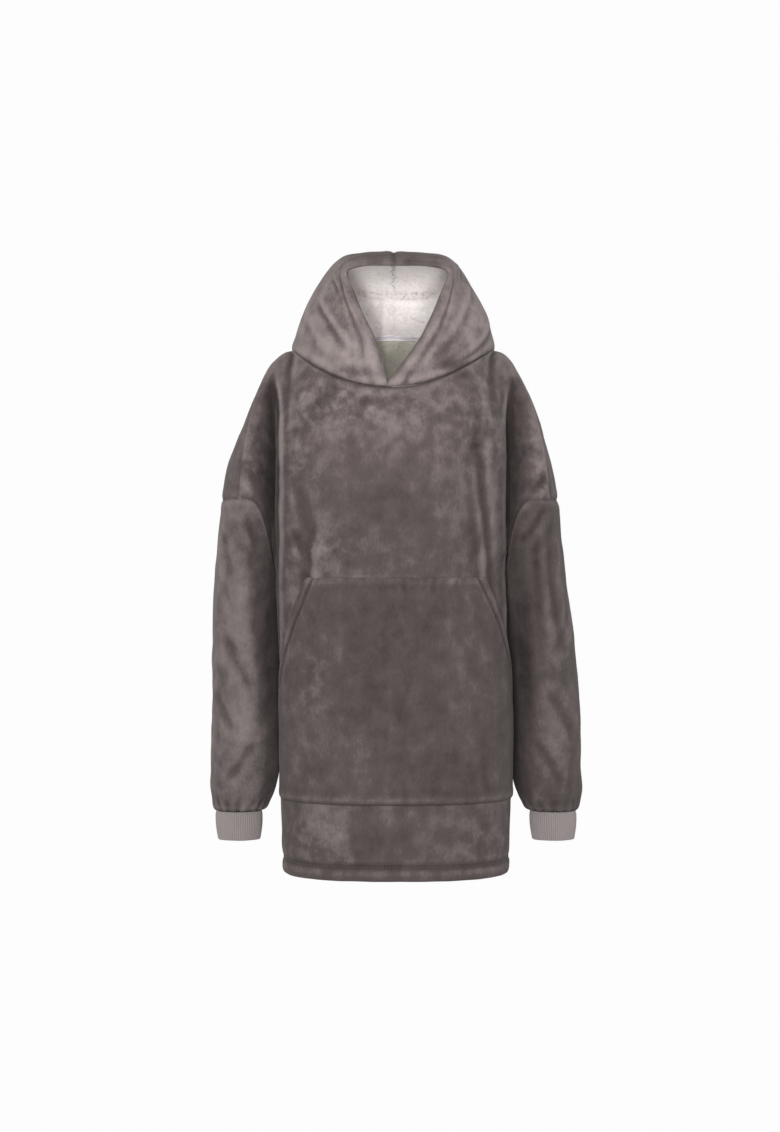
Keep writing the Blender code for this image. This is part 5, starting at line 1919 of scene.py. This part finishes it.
def sew_stitches(name, lines, look=thread_look, radius=THREAD_RADIUS, length=STITCH_LENGTH, gap=STITCH_GAP):
    """Rows of stitches along lines of points, joined into one mesh."""
    vertices, faces = [], []
    turns = 2.0 * math.pi * np.arange(STITCH_SIDES) / STITCH_SIDES
    last_ring = (len(STITCH_PROFILE) - 1) * STITCH_SIDES
    for run, facing in lines:
        places = lengths_along(run)
        for start in np.arange(gap, places[-1] - length, length + gap):
            first = len(vertices)
            for share, swell in STITCH_PROFILE:
                place = start + share * length
                normal = unit(read_line(facing, places, place))
                ahead = read_line(run, places, place + AIM_LENGTH)
                behind = read_line(run, places, place - AIM_LENGTH)
                across = unit(np.cross(unit(ahead - behind), normal))
                centre = read_line(run, places, place) + normal * radius * (swell - 0.5)
                for turn in turns:
                    spoke = math.cos(turn) * across + math.sin(turn) * normal
                    vertices.append(tuple(centre + radius * swell * spoke))
            for low in range(first, first + last_ring, STITCH_SIDES):
                for point in range(STITCH_SIDES):
                    after = (point + 1) % STITCH_SIDES
                    high = low + STITCH_SIDES
                    faces.append((low + point, low + after, high + after, high + point))
            faces.append(tuple(range(first + STITCH_SIDES - 1, first - 1, -1)))
            faces.append(tuple(range(first + last_ring, first + last_ring + STITCH_SIDES)))
    mesh = bpy.data.meshes.new(name)
    mesh.from_pydata(vertices, [], faces)
    mesh.materials.append(look)
    mesh.shade_smooth()
    PIECES[name] = add_object(name, mesh)
    print(name, "has", len(vertices) // (STITCH_SIDES * len(STITCH_PROFILE)), "stitches")
    return PIECES[name]


hem_stitches = {
    label: sew_stitches("hem_stitches_" + label, [line])
    for label, line in (("front", front_hem_line), ("back", back_hem_line))
}
rim_stitches = {
    side: sew_stitches("rim_stitches_" + label, [hood_parts[side][1]]) for side, label in SIDES.items()
}
pocket_stitches = sew_stitches("pocket_stitches", opening_lines)

# %% [markdown]
# ## The seam over the crown
# Inside the hood the two linings are joined by a coarse bluish thread that wanders in the pile. It is one
# line of long stitches that touch, swung from side to side.

# %% Sew the crown seam
CROWN_THREAD = 0.0009
CROWN_STITCH = 0.0060
CROWN_WANDER = 0.0034
CROWN_WAVE = 0.038
_, crown_run, crown_facing = lining_parts[1]
crown_turns = 2.0 * math.pi * lengths_along(crown_run) / CROWN_WAVE
wander = np.sin(crown_turns) + 0.6 * np.sin(2.55 * crown_turns)
crown_line = crown_run - 0.6 * CROWN_THREAD * crown_facing
crown_line[:, 0] += CROWN_WANDER * wander
crown_thread = sew_stitches(
    "crown_thread", [(crown_line, -crown_facing)], crown_thread_look, CROWN_THREAD, CROWN_STITCH, 0.0002
)

# %% [markdown]
# ## What each piece stands for
# Every piece rides on the garment's one body, takes its finish from a named material, and hides the plain
# solid that it replaces. A table also lists each piece of cloth with the solid it replaces, its slot, the
# size it was cut to, its area and the stitches on it.

Cut = namedtuple("Cut", "piece node slot width length area on")
CUTS = [
    Cut(front_piece, "front", "plush_fleece", 0.66, 0.90, 0.51, [hem_stitches["front"]]),
    Cut(back_piece, "back", "plush_fleece", 0.66, 0.95, 0.55, [hem_stitches["back"]]),
    Cut(sleeves[1], "sleeve_left", "plush_fleece", 0.50, 0.53, 0.20, []),
    Cut(sleeves[-1], "sleeve_right", "plush_fleece", 0.50, 0.53, 0.20, []),
    Cut(cuffs[1], "cuff_left", "rib_knit", 0.22, 0.047, 0.0100, []),
    Cut(cuffs[-1], "cuff_right", "rib_knit", 0.22, 0.047, 0.0100, []),
    Cut(pocket_piece, "pocket", "plush_fleece", 0.44, 0.37, 0.145, [pocket_stitches]),
    Cut(hood_parts[1][0], "hood_left", "plush_fleece", 0.38, 0.32, 0.085, [rim_stitches[1]]),
    Cut(hood_parts[-1][0], "hood_right", "plush_fleece", 0.38, 0.32, 0.085, [rim_stitches[-1]]),
    Cut(linings[1], "hood_lining_left", "sherpa", 0.37, 0.32, 0.080, [crown_thread]),
    Cut(linings[-1], "hood_lining_right", "sherpa", 0.37, 0.32, 0.080, []),
    Cut(back_lining_piece, "back_lining", "sherpa", 0.36, 0.14, 0.045, [neck_tape]),
]
for cut in CUTS:
    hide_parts(cut.node)
for piece in PIECES.values():
    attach(piece, "root")
print("pieces of cloth:", len(CUTS), "and all pieces:", len(PIECES))

# %% [markdown]
# ## Floor, light and camera
# The garment is shown as a cut-out on near white, filled out with nobody in it. So the floor is pale and
# well below the hem, the world is a soft pale grey, and large soft lights stand in front, above and at
# the sides. A small narrow one reaches into the hood. The camera looks level along +Y, as the picture does.

# %% Floor and light
FLOOR_HEIGHT = -1.55
FLOOR_SIZE = 60.0
FLOOR_GREY = 0.60
BACKDROP_BRIGHTNESS = 0.98
AMBIENT_BRIGHTNESS = 0.34
Light = namedtuple("Light", "name x y z aim_z size spread power")
LIGHTS = [
    Light("front_softbox", -0.45, -3.2, 0.15, -0.25, 1.3, 180, 74.0),
    Light("crown_light", 0.0, -2.4, -0.75, 0.11, 0.2, 16, 0.31),
    Light("right_fill", 2.0, -2.2, 0.0, -0.35, 1.6, 180, 10.0),
    Light("left_rim", -2.4, 1.1, 0.5, -0.35, 1.6, 180, 26.0),
    Light("right_rim", 2.4, 1.1, 0.5, -0.35, 1.6, 180, 26.0),
    Light("top_softbox", 0.1, 0.5, 2.3, -0.2, 2.0, 180, 16.0),
]


def shown_bright(tree, plain, bright):
    """The bright one in the picture itself, the plain one for the light that falls on the garment."""
    seen = add_node(tree, "LightPath").outputs["Is Camera Ray"]
    mix = add_node(tree, "MixShader")
    tree.links.new(seen, mix.inputs["Fac"])
    tree.links.new(plain, mix.inputs[1])
    tree.links.new(bright, mix.inputs[2])
    return mix.outputs["Shader"]


def lay_floor():
    """A plain pale floor."""
    mesh = bpy.data.meshes.new("floor")
    half = FLOOR_SIZE / 2
    corners = [(-half, -half, 0), (half, -half, 0), (half, half, 0), (-half, half, 0)]
    mesh.from_pydata(corners, [], [(0, 1, 2, 3)])
    floor = add_object("floor", mesh)
    floor.location.z = FLOOR_HEIGHT
    material = bpy.data.materials.new("pale_floor")
    material.use_nodes = True
    tree = material.node_tree
    shader = tree.nodes["Principled BSDF"]
    shader.inputs["Base Color"].default_value = (FLOOR_GREY, FLOOR_GREY, FLOOR_GREY, 1.0)
    shader.inputs["Roughness"].default_value = 0.95
    bright = add_node(tree, "Emission", Color=(1.0, 1.0, 1.0, 1.0), Strength=BACKDROP_BRIGHTNESS)
    tree.links.new(shown_bright(tree, shader.outputs["BSDF"], bright.outputs["Emission"]),
                   tree.nodes["Material Output"].inputs["Surface"])
    mesh.materials.append(material)
    floor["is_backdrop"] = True


def hang_light(light):
    """A square softbox that faces the garment."""
    data = bpy.data.lights.new(light.name, "AREA")
    data.size = light.size
    data.spread = math.radians(light.spread)
    data.energy = light.power
    lamp = add_object(light.name, data)
    lamp.location = (light.x, light.y, light.z)
    aim = Vector((0.0, 0.0, light.aim_z)) - lamp.location
    lamp.rotation_euler = aim.to_track_quat("-Z", "Y").to_euler()


lay_floor()
for light in LIGHTS:
    hang_light(light)
world = bpy.data.worlds.new("studio")
bpy.context.scene.world = world
world.use_nodes = True
tree = world.node_tree
ambient = tree.nodes["Background"]
ambient.inputs["Strength"].default_value = AMBIENT_BRIGHTNESS
ambient.inputs["Color"].default_value = (1.0, 1.0, 1.0, 1.0)
backdrop = add_node(tree, "Background", Color=(1.0, 1.0, 1.0, 1.0), Strength=BACKDROP_BRIGHTNESS)
tree.links.new(shown_bright(tree, ambient.outputs["Background"], backdrop.outputs["Background"]),
               tree.nodes["World Output"].inputs["Surface"])
bpy.context.scene.view_settings.view_transform = "Standard"
print("lights:", len(LIGHTS))

# %% Camera
CAMERA_PLACE = (-0.00996, -3.0, -0.3586)
PICTURE_HEIGHT = 1.879
SENSOR = 36.0

camera_data = bpy.data.cameras.new("camera")
camera_data.sensor_fit = "AUTO"
camera_data.sensor_width = SENSOR
camera_data.lens = SENSOR * abs(CAMERA_PLACE[1]) / PICTURE_HEIGHT
camera = add_object("camera", camera_data)
camera.location = CAMERA_PLACE
camera.rotation_euler = (math.pi / 2, 0.0, 0.0)
bpy.context.scene.camera = camera
print("lens:", round(camera_data.lens, 2), "mm")

# %% [markdown]
# ## Compare the sizes
# The dressed garment may stand only a little outside the box of its solids, so how far it stands out is
# printed.

# %% Print how far the garment stands outside the solids
new_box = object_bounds()
for corner, cad_corner in zip(new_box, cad_box):
    print("outside the solids by:", [round(float(a - b), 4) for a, b in zip(corner, cad_corner)])
